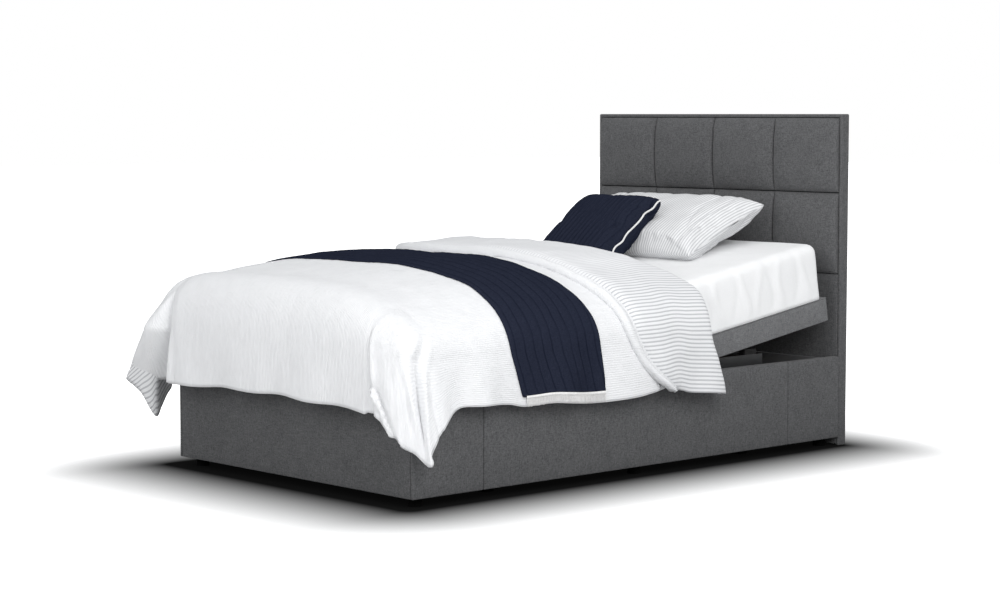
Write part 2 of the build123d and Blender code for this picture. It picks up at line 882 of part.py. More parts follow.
back_tube_end = back_anchor_s + motor_setback + motor_length + back_tube_length
leg_tube_end = leg_anchor_s - motor_setback - motor_length - leg_tube_length

with BuildPart() as back_motor:
    motor(actuator_offset, back_anchor_s, back_axis_z, 1)
    fillet(back_motor.edges().filter_by(Axis.Z), radius=motor_round)
    motor_eye(actuator_offset, back_anchor_s, back_axis_z, 1)
pieces["back_motor"] = back_motor

with BuildPart() as leg_motor:
    motor(-actuator_offset, leg_anchor_s, leg_axis_z, -1)
    fillet(leg_motor.edges().filter_by(Axis.Z), radius=motor_round)
    motor_eye(-actuator_offset, leg_anchor_s, leg_axis_z, -1)
pieces["leg_motor"] = leg_motor

with BuildPart() as back_actuator_tube:
    actuator_tube(actuator_offset, back_anchor_s, back_axis_z, 1, back_tube_length)
pieces["back_actuator_tube"] = back_actuator_tube

with BuildPart() as leg_actuator_tube:
    actuator_tube(-actuator_offset, leg_anchor_s, leg_axis_z, -1, leg_tube_length)
pieces["leg_actuator_tube"] = leg_actuator_tube

with BuildPart() as back_actuator_rod:
    actuator_rod(actuator_offset, back_eye_s, back_axis_z, 1, back_tube_end)
pieces["back_actuator_rod"] = back_actuator_rod

with BuildPart() as leg_actuator_rod:
    actuator_rod(-actuator_offset, leg_eye_s, leg_axis_z, -1, leg_tube_end)
pieces["leg_actuator_rod"] = leg_actuator_rod


def actuator_bracket(x, anchor, z):
    # Two plates under a cross tube, with the pin that an actuator's rear eye turns on.
    low = z - eye_radius
    y_span = (y_at(anchor) - eye_radius, y_at(anchor) + eye_radius)
    for start in (-fork_half - lever_thickness, fork_half):
        block((x + start, x + start + lever_thickness), y_span, (low, rail_bottom))
    pin_view = Plane(origin=(x - pin_half, 0, 0), x_dir=(0, 1, 0), z_dir=(1, 0, 0))
    with BuildSketch(pin_view) as pin:
        with Locations((y_at(anchor), z)):
            Circle(drive_pin_radius)
    extrude(pin.sketch, amount=2 * pin_half)


with BuildPart() as actuator_brackets:
    actuator_bracket(actuator_offset, back_anchor_s, back_axis_z)
    actuator_bracket(-actuator_offset, leg_anchor_s, leg_axis_z)
pieces["actuator_brackets"] = actuator_brackets

with BuildPart() as control_box:
    box_width, box_length, box_height = control_box_size
    box_y = y_at(leg_anchor_s)
    x_span = (control_box_offset - box_width / 2, control_box_offset + box_width / 2)
    y_span = (box_y - box_length / 2, box_y + box_length / 2)
    block(x_span, y_span, (rail_bottom - box_height, rail_bottom))
    fillet(control_box.edges().filter_by(Axis.Z), radius=box_round)
pieces["control_box"] = control_box

with BuildPart() as power_supply:
    supply_width, supply_length, supply_height = supply_size
    inlet_width, inlet_height, inlet_depth = inlet_size
    supply_x = -control_box_offset
    x_span = (supply_x - supply_width / 2, supply_x + supply_width / 2)
    y_span = (rail_span[1] - supply_length, rail_span[1])
    block(x_span, y_span, (rail_bottom - supply_height, rail_bottom))
    fillet(power_supply.edges().filter_by(Axis.Z), radius=box_round)
    socket_z = rail_bottom - supply_height / 2
    with BuildSketch(across_plane(rail_span[1])) as socket:
        with Locations((supply_x, socket_z)):
            Rectangle(inlet_width, inlet_height)
    extrude(socket.sketch, amount=inlet_depth, mode=Mode.SUBTRACT)
    with BuildSketch(across_plane(rail_span[1] - panel_seam)) as contacts:
        with Locations((supply_x, socket_z)):
            with GridLocations(inlet_pin_spacing, 0, 2, 1):
                Circle(inlet_pin_radius)
    extrude(contacts.sketch, amount=inlet_depth)
pieces["power_supply"] = power_supply

# Mattress sections and the fitted sheet, in their sections' planes
mattress_bottom = cloth_top + soft_clearance
mattress_top = mattress_bottom + mattress_thickness


def mattress_body(section, start, end, growth=0, mode=Mode.ADD):
    # A rounded bar along a section. Its growth goes to its sides and top, for a skin over it.
    height = mattress_thickness + growth
    plane = Plane(
        origin=section.from_local_coords((0, end, mattress_bottom + height / 2)),
        x_dir=section.x_dir,
        z_dir=-section.y_dir,
    )
    with BuildSketch(plane) as outline:
        RectangleRounded(mattress_width + 2 * growth, height, mattress_round)
    extrude(outline.sketch, amount=end - start, mode=mode)


def slant_cut(section, bottom, slant, towards):
    # Cuts a mattress section's end back, the more the higher.
    low = mattress_bottom - overrun
    high = mattress_top + overrun
    shift = tan(radians(slant))
    reach = bottom - towards * mattress_width
    outline = (
        (bottom + towards * (low - mattress_bottom) * shift, low),
        (bottom + towards * (high - mattress_bottom) * shift, high),
        (reach, high),
        (reach, low),
    )
    side_plate(section, -platform_width, outline, 2 * platform_width, Mode.SUBTRACT)


back_mattress_end = back_length - mattress_head_gap
calf_mattress_end = -calf_length - mattress_foot_overhang

with BuildPart() as mattress_back:
    mattress_body(back_plane, 0, back_mattress_end)
    end_face = mattress_back.faces().sort_by(Axis.Y)[-1]
    fillet(end_face.edges(), radius=mattress_end_round)
    slant_cut(back_plane, back_gap, mattress_back_slant, 1)
pieces["mattress_back"] = mattress_back

with BuildPart() as fitted_sheet:
    growth = soft_clearance + sheet_thickness
    mattress_body(back_plane, 0, back_mattress_end + growth, growth)
    end_face = fitted_sheet.faces().sort_by(Axis.Y)[-1]
    fillet(end_face.edges(), radius=mattress_end_round + growth)
    slant_cut(back_plane, back_gap, mattress_back_slant, 1)
    hollow_end = back_mattress_end + soft_clearance
    mattress_body(back_plane, 0, hollow_end, soft_clearance, Mode.SUBTRACT)
pieces["fitted_sheet"] = fitted_sheet

with BuildPart() as mattress_thigh:
    mattress_body(thigh_plane, -thigh_length + soft_clearance, 0)
    slant_cut(thigh_plane, -leg_gap, mattress_thigh_slant, -1)
pieces["mattress_thigh"] = mattress_thigh

with BuildPart() as mattress_calf:
    mattress_body(calf_plane, calf_mattress_end, -soft_clearance)
    end_face = mattress_calf.faces().sort_by(Axis.Y)[0]
    fillet(end_face.edges(), radius=mattress_end_round)
pieces["mattress_calf"] = mattress_calf


def in_side_view(section, y, z):
    # A point of a section's side view, as a place along the bed and a height.
    point = section.from_local_coords((0, y, z))
    return (point.Y, point.Z)


with BuildPart() as mattress_lap:
    lap_gap = 2 * soft_clearance
    back_shift = tan(radians(mattress_back_slant)) * mattress_thickness
    thigh_shift = tan(radians(mattress_thigh_slant)) * mattress_thickness
    rise = mattress_top - mattress_bottom * cos(raise_angle) - back_gap * sin(raise_angle)
    full_rise = back_shift * sin(raise_angle) + mattress_thickness * cos(raise_angle)
    lap_y = back_gap + back_shift * rise / full_rise
    lap_z = mattress_bottom + mattress_thickness * rise / full_rise
    lap_outline = (
        in_side_view(thigh_plane, -leg_gap + lap_gap, mattress_bottom),
        in_side_view(back_plane, 0, mattress_bottom),
        in_side_view(back_plane, back_gap - lap_gap, mattress_bottom),
        in_side_view(back_plane, lap_y - lap_gap, lap_z),
        in_side_view(thigh_plane, -leg_gap - thigh_shift + lap_gap, mattress_top),
    )
    lap_top = max(z for y, z in lap_outline)
    lap_low = platform_top + soft_clearance
    lap_plane = across_plane(y_at(back_s + seat_length))
    with BuildSketch(lap_plane) as lap_section:
        with Locations((0, (lap_low + lap_top) / 2)):
            RectangleRounded(mattress_width, lap_top - lap_low, mattress_round)
    extrude(lap_section.sketch, amount=3 * seat_length)
    with BuildSketch(side_plane(Plane.XY, -platform_width)) as lap_side:
        with BuildLine():
            Polyline(*lap_outline, close=True)
        make_face()
    extrude(lap_side.sketch, amount=2 * platform_width, mode=Mode.INTERSECT)
pieces["mattress_lap"] = mattress_lap

# Pillow and scatter cushion: lens-shaped, with their sides drawn in between the corners
sheet_top = mattress_top + sheet_thickness + soft_clearance


def tilted_plane(section, x, y, z, tilt):
    normal = section.z_dir.rotate(Axis.X, tilt)
    return Plane(origin=section.from_local_coords((x, y, z)), x_dir=section.x_dir, z_dir=normal)


def lens_section(plane, x, half_length, half_thickness):
    with BuildSketch(side_plane(plane, x)) as lens:
        with BuildLine():
            ThreePointArc((-half_length, 0), (0, half_thickness), (half_length, 0))
            ThreePointArc((half_length, 0), (0, -half_thickness), (-half_length, 0))
        make_face()
    return lens.sketch


pillow_plane = tilted_plane(
    back_plane, pillow_offset, pillow_from_hinge, sheet_top + pillow_rise, pillow_tilt
)
# Share of the half width, of the half length and of the half thickness
pillow_shares = (
    (-1.00, 1.00, 0.06),
    (-0.90, 0.97, 0.42),
    (-0.72, 0.95, 0.76),
    (-0.40, 0.94, 0.97),
    (0.00, 0.93, 1.00),
    (0.40, 0.94, 0.97),
    (0.72, 0.95, 0.76),
    (0.90, 0.97, 0.42),
    (1.00, 1.00, 0.06),
)

with BuildPart() as pillow:
    sections = [
        lens_section(
            pillow_plane,
            width_share * pillow_width / 2,
            length_share * pillow_length / 2,
            thickness_share * pillow_thickness / 2,
        )
        for width_share, length_share, thickness_share in pillow_shares
    ]
    loft(sections, ruled=True)
pieces["pillow"] = pillow

cushion_plane = tilted_plane(
    back_plane, cushion_offset, cushion_from_hinge, sheet_top + cushion_rise, cushion_tilt
)

with BuildPart() as scatter_cushion:
    sections = []
    step = 1 / cushion_pleats
    for index in range(-cushion_pleats, cushion_pleats + 1):
        share = index * step
        swell = (1 - share * share) * (1 - cushion_end_share) + cushion_end_share
        drawn = 1 - cushion_side_share * (1 - share * share)
        ridge = pleat_depth * (index % 2) * swell
        sections.append(
            lens_section(
                cushion_plane,
                share * cushion_width / 2,
                drawn * cushion_length / 2,
                swell * cushion_thickness / 2 - ridge,
            )
        )
    loft(sections, ruled=True)
pieces["scatter_cushion"] = scatter_cushion

with BuildPart() as cushion_piping:
    edge_x = cushion_width / 2 + piping_radius + soft_clearance
    piping_half = cushion_length / 2 - 2 * piping_radius
    piping_plane = Plane(
        origin=cushion_plane.from_local_coords((edge_x, -piping_half, 0)),
        x_dir=cushion_plane.x_dir,
        z_dir=cushion_plane.y_dir,
    )
    with BuildSketch(piping_plane) as piping_ring:
        Circle(piping_radius)
    extrude(piping_ring.sketch, amount=2 * piping_half)
pieces["cushion_piping"] = cushion_piping

# Duvet: cloth in lofts through stations along the bed, hollow over the mattress and surround
duvet_foot_s = -foot_reach
duvet_head_s = back_s + duvet_head_reach
duvet_length = duvet_head_s - duvet_foot_s


def duvet_station(index):
    # A station's place, crown, width at its side and hem, and its hem's height.
    place, crown, side, hem, low = duvet_shares[index]
    return (
        duvet_foot_s + place * duvet_length,
        crown * duvet_crown,
        side * duvet_half_width,
        hem * duvet_half_width,
        low * surround_top,
    )


def blended_station(s):
    # The station between two others at a place along the bed.
    stations = [duvet_station(index) for index in range(len(duvet_shares))]
    for first, second in zip(stations, stations[1:]):
        if s <= second[0]:
            share = (s - first[0]) / (second[0] - first[0])
            return tuple(a + share * (b - a) for a, b in zip(first, second))
    return stations[-1]


def duvet_outer(station, growth=0, low=None):
    # The outline over the bed at a station: hems, sides, shoulders and crown.
    s, crown, side, hem, hem_z = station
    bottom = hem_z if low is None else low
    rim = duvet_edge_share * duvet_half_width
    rim_z = crown - duvet_edge_drop + growth
    top = crown + growth
    side_x = side + growth
    shoulder_z = min(shoulder_height, rim_z - shoulder_bow)
    bow_x = (rim + side_x) / 2 + shoulder_bow
    bow_z = (rim_z + shoulder_z) / 2 + shoulder_bow
    hem_share = (bottom - hem_z) / (shoulder_z - hem_z)
    right_hem = hem + growth + hem_share * (side - hem)
    left_hem = left_hem_share * hem + growth + hem_share * (side - left_hem_share * hem)
    with BuildSketch(across_plane(y_at(s))) as outline:
        with BuildLine():
            Line((right_hem, bottom), (side_x, shoulder_z))
            ThreePointArc((side_x, shoulder_z), (bow_x, bow_z), (rim, rim_z))
            ThreePointArc((rim, rim_z), (0, top), (-rim, rim_z))
            ThreePointArc((-rim, rim_z), (-bow_x, bow_z), (-side_x, shoulder_z))
            Line((-side_x, shoulder_z), (-left_hem, bottom))
            Line((-left_hem, bottom), (right_hem, bottom))
        make_face()
    return outline.sketch


def rest_top(s):
    # The height of the mattress's top at a place along the bed.
    level = pivot_z + mattress_top
    rise = s - back_s + sheet_top * sin(raise_angle)
    raised = pivot_z + sheet_top * cos(raise_angle) + rise * tan(raise_angle)
    return max(level, raised) + soft_clearance


def duvet_inner(station):
    # The outline under the cloth, clear of the surround's sides and on the mattress's top.
    s, crown, side, hem, hem_z = station
    top = rest_top(s) + soft_clearance
    wall = half_width + duvet_side_play
    right_hem = hem - drape_thickness
    left_hem = left_hem_share * hem - drape_thickness
    low = hem_z - overrun
    turn_z = top - mattress_round - duvet_side_play
    turn_x = mattress_width / 2 - mattress_round
    arc_x = turn_x + (wall - turn_x) * corner_arc_share
    arc_z = turn_z + (top - turn_z) * corner_arc_share
    with BuildSketch(across_plane(y_at(s))) as outline:
        with BuildLine():
            Line((right_hem, low), (wall, platform_top))
            Line((wall, platform_top), (wall, turn_z))
            ThreePointArc((wall, turn_z), (arc_x, arc_z), (turn_x, top))
            Line((turn_x, top), (-turn_x, top))
            ThreePointArc((-turn_x, top), (-arc_x, arc_z), (-wall, turn_z))
            Line((-wall, turn_z), (-wall, platform_top))
            Line((-wall, platform_top), (-left_hem, low))
            Line((-left_hem, low), (right_hem, low))
        make_face()
    return outline.sketch


def corner_tip(side):
    # A fold that hangs from the corner of the drape to a low point.
    hem = duvet_station(2)[3] * (1 if side > 0 else left_hem_share)
    hem_z = duvet_station(2)[4]
    foot = y_at(duvet_foot_s)
    inner_x = half_width + drape_thickness
    inner_y = y_at(-mattress_foot_overhang - duvet_foot_play)
    outline = (
        (side * (inner_x - 2 * foot_reach), foot + drape_thickness / 2),
        (side * hem, foot),
        (side * hem, y_at(foot_reach)),
        (side * inner_x, inner_y),
    )
    tip = (side * (hem - soft_clearance), y_at(-drape_thickness / 2))
    small = [
        (
            tip[0] + corner_tip_share * (x - tip[0]),
            tip[1] + corner_tip_share * (y - tip[1]),
        )
        for x, y in outline
    ]
    with BuildSketch(Plane.XY.offset(hem_z + drape_thickness / 2)) as upper:
        with BuildLine():
            Polyline(*outline, close=True)
        make_face()
    with BuildSketch(Plane.XY.offset(hem_z - corner_tip_drop)) as lower:
        with BuildLine():
            Polyline(*small, close=True)
        make_face()
    loft([upper.sketch, lower.sketch], ruled=True)


last_station = len(duvet_shares) - 1
inner_foot_s = -mattress_foot_overhang - duvet_foot_play
split_s = duvet_station(knee_station)[0]

with BuildPart() as duvet_lower:
    stations = [duvet_station(index) for index in range(knee_station + 1)]
    stations[-1] = (split_s - soft_clearance, *stations[-1][1:])
    loft([duvet_outer(station) for station in stations], ruled=True)
    inner = [blended_station(inner_foot_s)]
    inner += [station for station in stations if station[0] > inner_foot_s]
    inner.append((split_s + overrun, *stations[-1][1:]))
    loft([duvet_inner(station) for station in inner], ruled=True, mode=Mode.SUBTRACT)
    corner_tip(1)
    corner_tip(-1)
pieces["duvet_lower"] = duvet_lower

with BuildPart() as duvet_upper:
    stations = [duvet_station(index) for index in range(knee_station, last_station + 1)]
    loft([duvet_outer(station) for station in stations], ruled=True)
    inner = [(split_s - overrun, *stations[0][1:])] + stations
    inner.append((duvet_head_s + overrun, *stations[-1][1:]))
    loft([duvet_inner(station) for station in inner], ruled=True, mode=Mode.SUBTRACT)
    head_y = y_at(duvet_head_s)
    lean = duvet_head_lean * overrun / (duvet_crown - surround_top)
    head_outline = (
        (head_y + lean, surround_top - overrun),
        (head_y - duvet_head_lean - lean, duvet_crown + overrun),
        (head_y + duvet_length, duvet_crown + overrun),
        (head_y + duvet_length, surround_top - overrun),
    )
    side_plate(Plane.XY, -bed_width, head_outline, 2 * bed_width, Mode.SUBTRACT)
pieces["duvet_upper"] = duvet_upper

runner_range = range(runner_first_station, runner_last_station + 1)
runner_stations = [duvet_station(index) for index in runner_range]
fringe_top = max(station[4] for station in runner_stations) + 2 * soft_clearance
runner_low = fringe_top + soft_clearance


def cloth_band(thickness, low):
    # A thin band of cloth just over the duvet, down to a height.
    growth = soft_clearance + thickness
    outer = [duvet_outer(station, growth, low) for station in runner_stations]
    loft(outer, ruled=True)
    inner = []
    for station in runner_stations:
        inner.append(duvet_outer(station, soft_clearance, station[4] - overrun))
    loft(inner, ruled=True, mode=Mode.SUBTRACT)


with BuildPart() as throw_runner:
    cloth_band(runner_thickness, runner_low)
pieces["throw_runner"] = throw_runner

with BuildPart() as runner_fringe:
    fringe_low = fringe_top - fringe_length
    cloth_band(fringe_thickness, fringe_low)
    y_span = (y_at(duvet_foot_s), y_at(duvet_head_s))
    block((-bed_width, bed_width), y_span, (fringe_top, duvet_crown + overrun), Mode.SUBTRACT)
pieces["runner_fringe"] = runner_fringe

for label, piece in pieces.items():
    piece.part.label = label
    export_step(piece.part, f"parts/{label}.step")

print(len(pieces), "pieces")
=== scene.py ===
import bisect
import math

import bmesh
import bpy
from mathutils import Matrix, Vector, noise


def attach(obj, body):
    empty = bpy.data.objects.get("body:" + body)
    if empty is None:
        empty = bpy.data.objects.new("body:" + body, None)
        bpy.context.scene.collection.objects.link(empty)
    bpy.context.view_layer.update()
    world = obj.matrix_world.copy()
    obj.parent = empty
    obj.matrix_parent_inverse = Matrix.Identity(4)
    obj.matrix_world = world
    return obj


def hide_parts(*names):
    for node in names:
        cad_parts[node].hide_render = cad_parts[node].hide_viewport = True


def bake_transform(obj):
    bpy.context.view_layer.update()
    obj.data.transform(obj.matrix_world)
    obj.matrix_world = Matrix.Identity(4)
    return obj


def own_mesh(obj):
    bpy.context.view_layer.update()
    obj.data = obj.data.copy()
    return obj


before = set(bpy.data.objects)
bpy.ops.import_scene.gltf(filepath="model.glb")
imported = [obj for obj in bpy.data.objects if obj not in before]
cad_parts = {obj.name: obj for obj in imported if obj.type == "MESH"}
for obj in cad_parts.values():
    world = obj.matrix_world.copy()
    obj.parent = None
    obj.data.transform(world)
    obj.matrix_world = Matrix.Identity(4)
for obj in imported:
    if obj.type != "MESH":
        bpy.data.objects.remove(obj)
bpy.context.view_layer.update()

print("frame loaded:", len(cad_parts), "nodes")

footFace = -0.9785          # the surround's foot face
hingeZ = 0.3795             # the height of the three platform hinges
backHinge = Vector((0, 0.1615, hingeZ))
backRaise = math.radians(9)
backBend = 0.09             # half the length over which a bent shape turns up at the back hinge


def lerp(a, b, t):
    return a + (b - a) * t


def ease(t, start=0.0, end=1.0):
    t = min(max((t - start) / (end - start), 0), 1)
    return t * t * (3 - 2 * t)


def dent(value, middle, width):
    return math.exp(-((value - middle) / width) ** 2)


def throughPoints(points, t):
    # A smooth line through (place, value...) points.
    if t <= points[0][0]:
        return points[0][1:]
    for index in range(len(points) - 1):
        a, b = points[index], points[index + 1]
        if t <= b[0]:
            before = points[index - 1] if index else a
            after = points[index + 2] if index + 2 < len(points) else b
            span = b[0] - a[0]
            k = (t - a[0]) / span
            values = []
            for n in range(1, len(a)):
                slopeA = (b[n] - before[n]) / (b[0] - before[0]) * span
                slopeB = (after[n] - a[n]) / (after[0] - a[0]) * span
                values.append(
                    a[n] * (2 * k ** 3 - 3 * k ** 2 + 1) + slopeA * (k ** 3 - 2 * k ** 2 + k)
                    + b[n] * (3 * k ** 2 - 2 * k ** 3) + slopeB * (k ** 3 - k ** 2))
            return tuple(values)
    return points[-1][1:]


def soft(x, y, z, size, seed=0.0):
    return noise.noise(Vector((x / size + seed, y / size - seed, z / size + 2 * seed)))


def onBack(x, along, above):
    # A place on the back section, measured from its hinge along and above the platform.
    turned = backRaise * ease(along, -backBend, backBend)
    return backHinge + Matrix.Rotation(turned, 3, "X") @ Vector((x, along, above))


def node(tree, kind, **settings):
    made = tree.nodes.new(kind)
    for key, value in settings.items():
        if key.startswith("in_"):
            label = key[3:]
            label = int(label) if label.isdigit() else label.replace("_", " ")
            made.inputs[label].default_value = value
        else:
            setattr(made, key, value)
    return made


def join(tree, source, target):
    tree.links.new(source, target)


def calc(tree, operation, a, b=None):
    made = node(tree, "ShaderNodeMath", operation=operation)
    for index, value in enumerate((a, b)):
        if value is None:
            continue
        if isinstance(value, (int, float)):
            made.inputs[index].default_value = value
        else:
            tree.links.new(value, made.inputs[index])
    return made.outputs[0]


def colourMix(tree, factor, a, b):
    made = node(tree, "ShaderNodeMix", data_type="RGBA")
    for socket, value in ((made.inputs[0], factor), (made.inputs[6], a), (made.inputs[7], b)):
        if isinstance(value, (int, float)):
            socket.default_value = value
        elif isinstance(value, tuple):
            socket.default_value = (*value, 1)
        else:
            tree.links.new(value, socket)
    return made.outputs[2]


def newGroup(name, inputs, outputs):
    group = bpy.data.node_groups.new(name, "ShaderNodeTree")
    for label, kind, value in inputs:
        socket = group.interface.new_socket(label, in_out="INPUT", socket_type=kind)
        if value is not None:
            socket.default_value = value
    for label, kind in outputs:
        group.interface.new_socket(label, in_out="OUTPUT", socket_type=kind)
    return group, group.nodes.new("NodeGroupInput"), group.nodes.new("NodeGroupOutput")


def makeHeatherGroup():
    # Crossed threads of light and dark yarn, for the upholstery, the runner and the plain cloths.
    tree, entry, result = newGroup(
        "heatherWeave",
        (("Vector", "NodeSocketVector", None), ("Thread", "NodeSocketFloat", 0.004),
         ("Patch", "NodeSocketFloat", 0.05)),
        (("Mask", "NodeSocketFloat"), ("Height", "NodeSocketFloat")))
    perMetre = calc(tree, "DIVIDE", 1.0, entry.outputs["Thread"])
    threads = []
    for stretch in ((1, 1, 0.2), (0.2, 0.2, 1)):
        scaled = node(tree, "ShaderNodeVectorMath", operation="MULTIPLY")
        scaled.inputs[1].default_value = stretch
        join(tree, entry.outputs["Vector"], scaled.inputs[0])
        yarn = node(tree, "ShaderNodeTexNoise", in_Detail=2.0, in_Roughness=0.7)
        join(tree, scaled.outputs[0], yarn.inputs["Vector"])
        join(tree, perMetre, yarn.inputs["Scale"])
        threads.append(yarn.outputs["Fac"])
    speckle = node(tree, "ShaderNodeTexNoise", in_Detail=3.0, in_Roughness=0.8)
    join(tree, entry.outputs["Vector"], speckle.inputs["Vector"])
    join(tree, calc(tree, "MULTIPLY", perMetre, 0.8), speckle.inputs["Scale"])
    patch = node(tree, "ShaderNodeTexNoise", in_Detail=2.0)
    join(tree, entry.outputs["Vector"], patch.inputs["Vector"])
    join(tree, calc(tree, "DIVIDE", 1.0, entry.outputs["Patch"]), patch.inputs["Scale"])
    crossed = calc(tree, "ADD", threads[0], threads[1])
    total = calc(tree, "ADD", calc(tree, "MULTIPLY", crossed, 0.5), speckle.outputs["Fac"])
    total = calc(tree, "ADD", total, calc(tree, "MULTIPLY", patch.outputs["Fac"], 0.14))
    mask = node(tree, "ShaderNodeMapRange", in_1=0.765, in_2=1.365)
    join(tree, total, mask.inputs[0])
    join(tree, mask.outputs[0], result.inputs["Mask"])
    join(tree, crossed, result.inputs["Height"])
    return tree


def makeStripeGroup():
    # Even lines across one direction of a vector, with a soft edge.
    tree, entry, result = newGroup(
        "fineStripes",
        (("Place", "NodeSocketFloat", 0.0), ("Pitch", "NodeSocketFloat", 0.014),
         ("Share", "NodeSocketFloat", 0.35), ("Edge", "NodeSocketFloat", 0.12)),
        (("Mask", "NodeSocketFloat"), ("Rib", "NodeSocketFloat")))
    turns = calc(tree, "DIVIDE", entry.outputs["Place"], entry.outputs["Pitch"])
    wrapped = calc(tree, "FRACT", turns)
    away = calc(tree, "ABSOLUTE", calc(tree, "SUBTRACT", wrapped, 0.5))
    half = calc(tree, "MULTIPLY", entry.outputs["Share"], 0.5)
    band = node(tree, "ShaderNodeMapRange", interpolation_type="SMOOTHSTEP", in_3=1.0, in_4=0.0)
    join(tree, away, band.inputs[0])
    edge = calc(tree, "MULTIPLY", entry.outputs["Edge"], 0.5)
    join(tree, calc(tree, "SUBTRACT", half, edge), band.inputs[1])
    join(tree, calc(tree, "ADD", half, edge), band.inputs[2])
    rib = calc(tree, "SINE", calc(tree, "MULTIPLY", turns, 2 * math.pi))
    join(tree, band.outputs[0], result.inputs["Mask"])
    join(tree, rib, result.inputs["Rib"])
    return tree


def makeMottleGroup():
    # Slow change and fine scratches over a hard surface: a colour mask, a roughness and a height.
    tree, entry, result = newGroup(
        "surfaceMottle",
        (("Vector", "NodeSocketVector", None), ("Size", "NodeSocketFloat", 0.03),
         ("Low", "NodeSocketFloat", 0.3), ("High", "NodeSocketFloat", 0.5)),
        (("Mask", "NodeSocketFloat"), ("Roughness", "NodeSocketFloat"), ("Height", "NodeSocketFloat")))
    perMetre = calc(tree, "DIVIDE", 1.0, entry.outputs["Size"])
    slow = node(tree, "ShaderNodeTexNoise", in_Detail=4.0, in_Roughness=0.6)
    fine = node(tree, "ShaderNodeTexNoise", in_Detail=2.0)
    join(tree, entry.outputs["Vector"], slow.inputs["Vector"])
    join(tree, entry.outputs["Vector"], fine.inputs["Vector"])
    join(tree, perMetre, slow.inputs["Scale"])
    join(tree, calc(tree, "MULTIPLY", perMetre, 22.0), fine.inputs["Scale"])
    rough = node(tree, "ShaderNodeMapRange", in_1=0.3, in_2=0.7)
    join(tree, slow.outputs["Fac"], rough.inputs[0])
    join(tree, entry.outputs["Low"], rough.inputs[3])
    join(tree, entry.outputs["High"], rough.inputs[4])
    mask = calc(tree, "ADD", calc(tree, "MULTIPLY", slow.outputs["Fac"], 0.75),
                 calc(tree, "MULTIPLY", fine.outputs["Fac"], 0.25))
    join(tree, mask, result.inputs["Mask"])
    join(tree, rough.outputs[0], result.inputs["Roughness"])
    join(tree, fine.outputs["Fac"], result.inputs["Height"])
    return tree


heatherWeave = makeHeatherGroup()
fineStripes = makeStripeGroup()
surfaceMottle = makeMottleGroup()


def newMaterial(name, roughness=0.8, metallic=0.0, sheen=0.0, specular=0.5):
    made = bpy.data.materials.new(name)
    made.use_nodes = True
    tree = made.node_tree
    shader = tree.nodes["Principled BSDF"]
    shader.inputs["Roughness"].default_value = roughness
    shader.inputs["Metallic"].default_value = metallic
    shader.inputs["Sheen Weight"].default_value = sheen
    shader.inputs["Sheen Roughness"].default_value = 0.5
    shader.inputs["Specular IOR Level"].default_value = specular
    return made, tree, shader


def place(tree, source):
    return node(tree, "ShaderNodeTexCoord").outputs[source]


def placed(tree, group, vector=None, **values):
    made = node(tree, "ShaderNodeGroup", node_tree=group)
    if vector is not None:
        join(tree, vector, made.inputs["Vector"])
    for key, value in values.items():
        made.inputs[key].default_value = value
    return made


def bumpTo(tree, shader, height, strength, distance):
    bump = node(tree, "ShaderNodeBump", in_Strength=strength, in_Distance=distance)
    join(tree, height, bump.inputs["Height"])
    join(tree, bump.outputs[0], shader.inputs["Normal"])


clothLooks = {
    # dark yarn, light yarn, thread size, bump, sheen
    "upholsteryGrey": ((0.050, 0.0506, 0.0525), (0.150, 0.1507, 0.155), 0.0034, 0.5, 0.12),
    "skirtGrey": ((0.086, 0.087, 0.090), (0.221, 0.2235, 0.2295), 0.0034, 0.5, 0.12),
    "backingClothAndGapShade": ((0.010, 0.010, 0.011), (0.028, 0.028, 0.030), 0.0030, 0.3, 0.0),
    "fringeYarn": ((0.700, 0.690, 0.685), (0.900, 0.894, 0.888), 0.0040, 0.4, 0.0),
    "pipingWhite": ((0.700, 0.695, 0.685), (0.900, 0.895, 0.885), 0.0022, 0.5, 0.2),
    "mattressTicking": ((0.700, 0.700, 0.705), (0.820, 0.820, 0.825), 0.0060, 0.6, 0.0),
    "sheetWhite": ((0.860, 0.865, 0.872), (0.915, 0.918, 0.922), 0.0020, 0.15, 0.0),
}


def clothMaterial(name):
    dark, light, thread, bump, sheen = clothLooks[name]
    made, tree, shader = newMaterial(name, 0.92, sheen=sheen, specular=0.1)
    weave = placed(tree, heatherWeave, place(tree, "Object"), Thread=thread, Patch=0.06)
    join(tree, colourMix(tree, weave.outputs["Mask"], dark, light), shader.inputs["Base Color"])
    bumpTo(tree, shader, weave.outputs["Height"], bump, thread * 0.4)
    return made


ribbedLook = {
    "rib": 0.0068, "ribDepth": 0.0017, "ribShare": 0.4, "ribWander": 0.004, "ribBump": 0.7,
    "stripedBump": 0.3,
    "crinkle": 0.012, "crinkleStretch": (1, 0.35, 1), "crinkleHeight": 1.4, "patchScale": 24.0,
    # shade is the colour of the crinkles' hollows: painted shade in the creases
    "white": (0.828, 0.833, 0.845), "shade": (0.78, 0.785, 0.798), "stripe": (0.36, 0.365, 0.385),
    "stripePitch": 0.0135, "stripeShare": 0.36, "stripeEdge": 0.14,
    # faint up to this place across, clear from this one on, and how strong the stripes are in each
    "stripeFade": (0.42, 0.62, 0.26, 0.68),
}


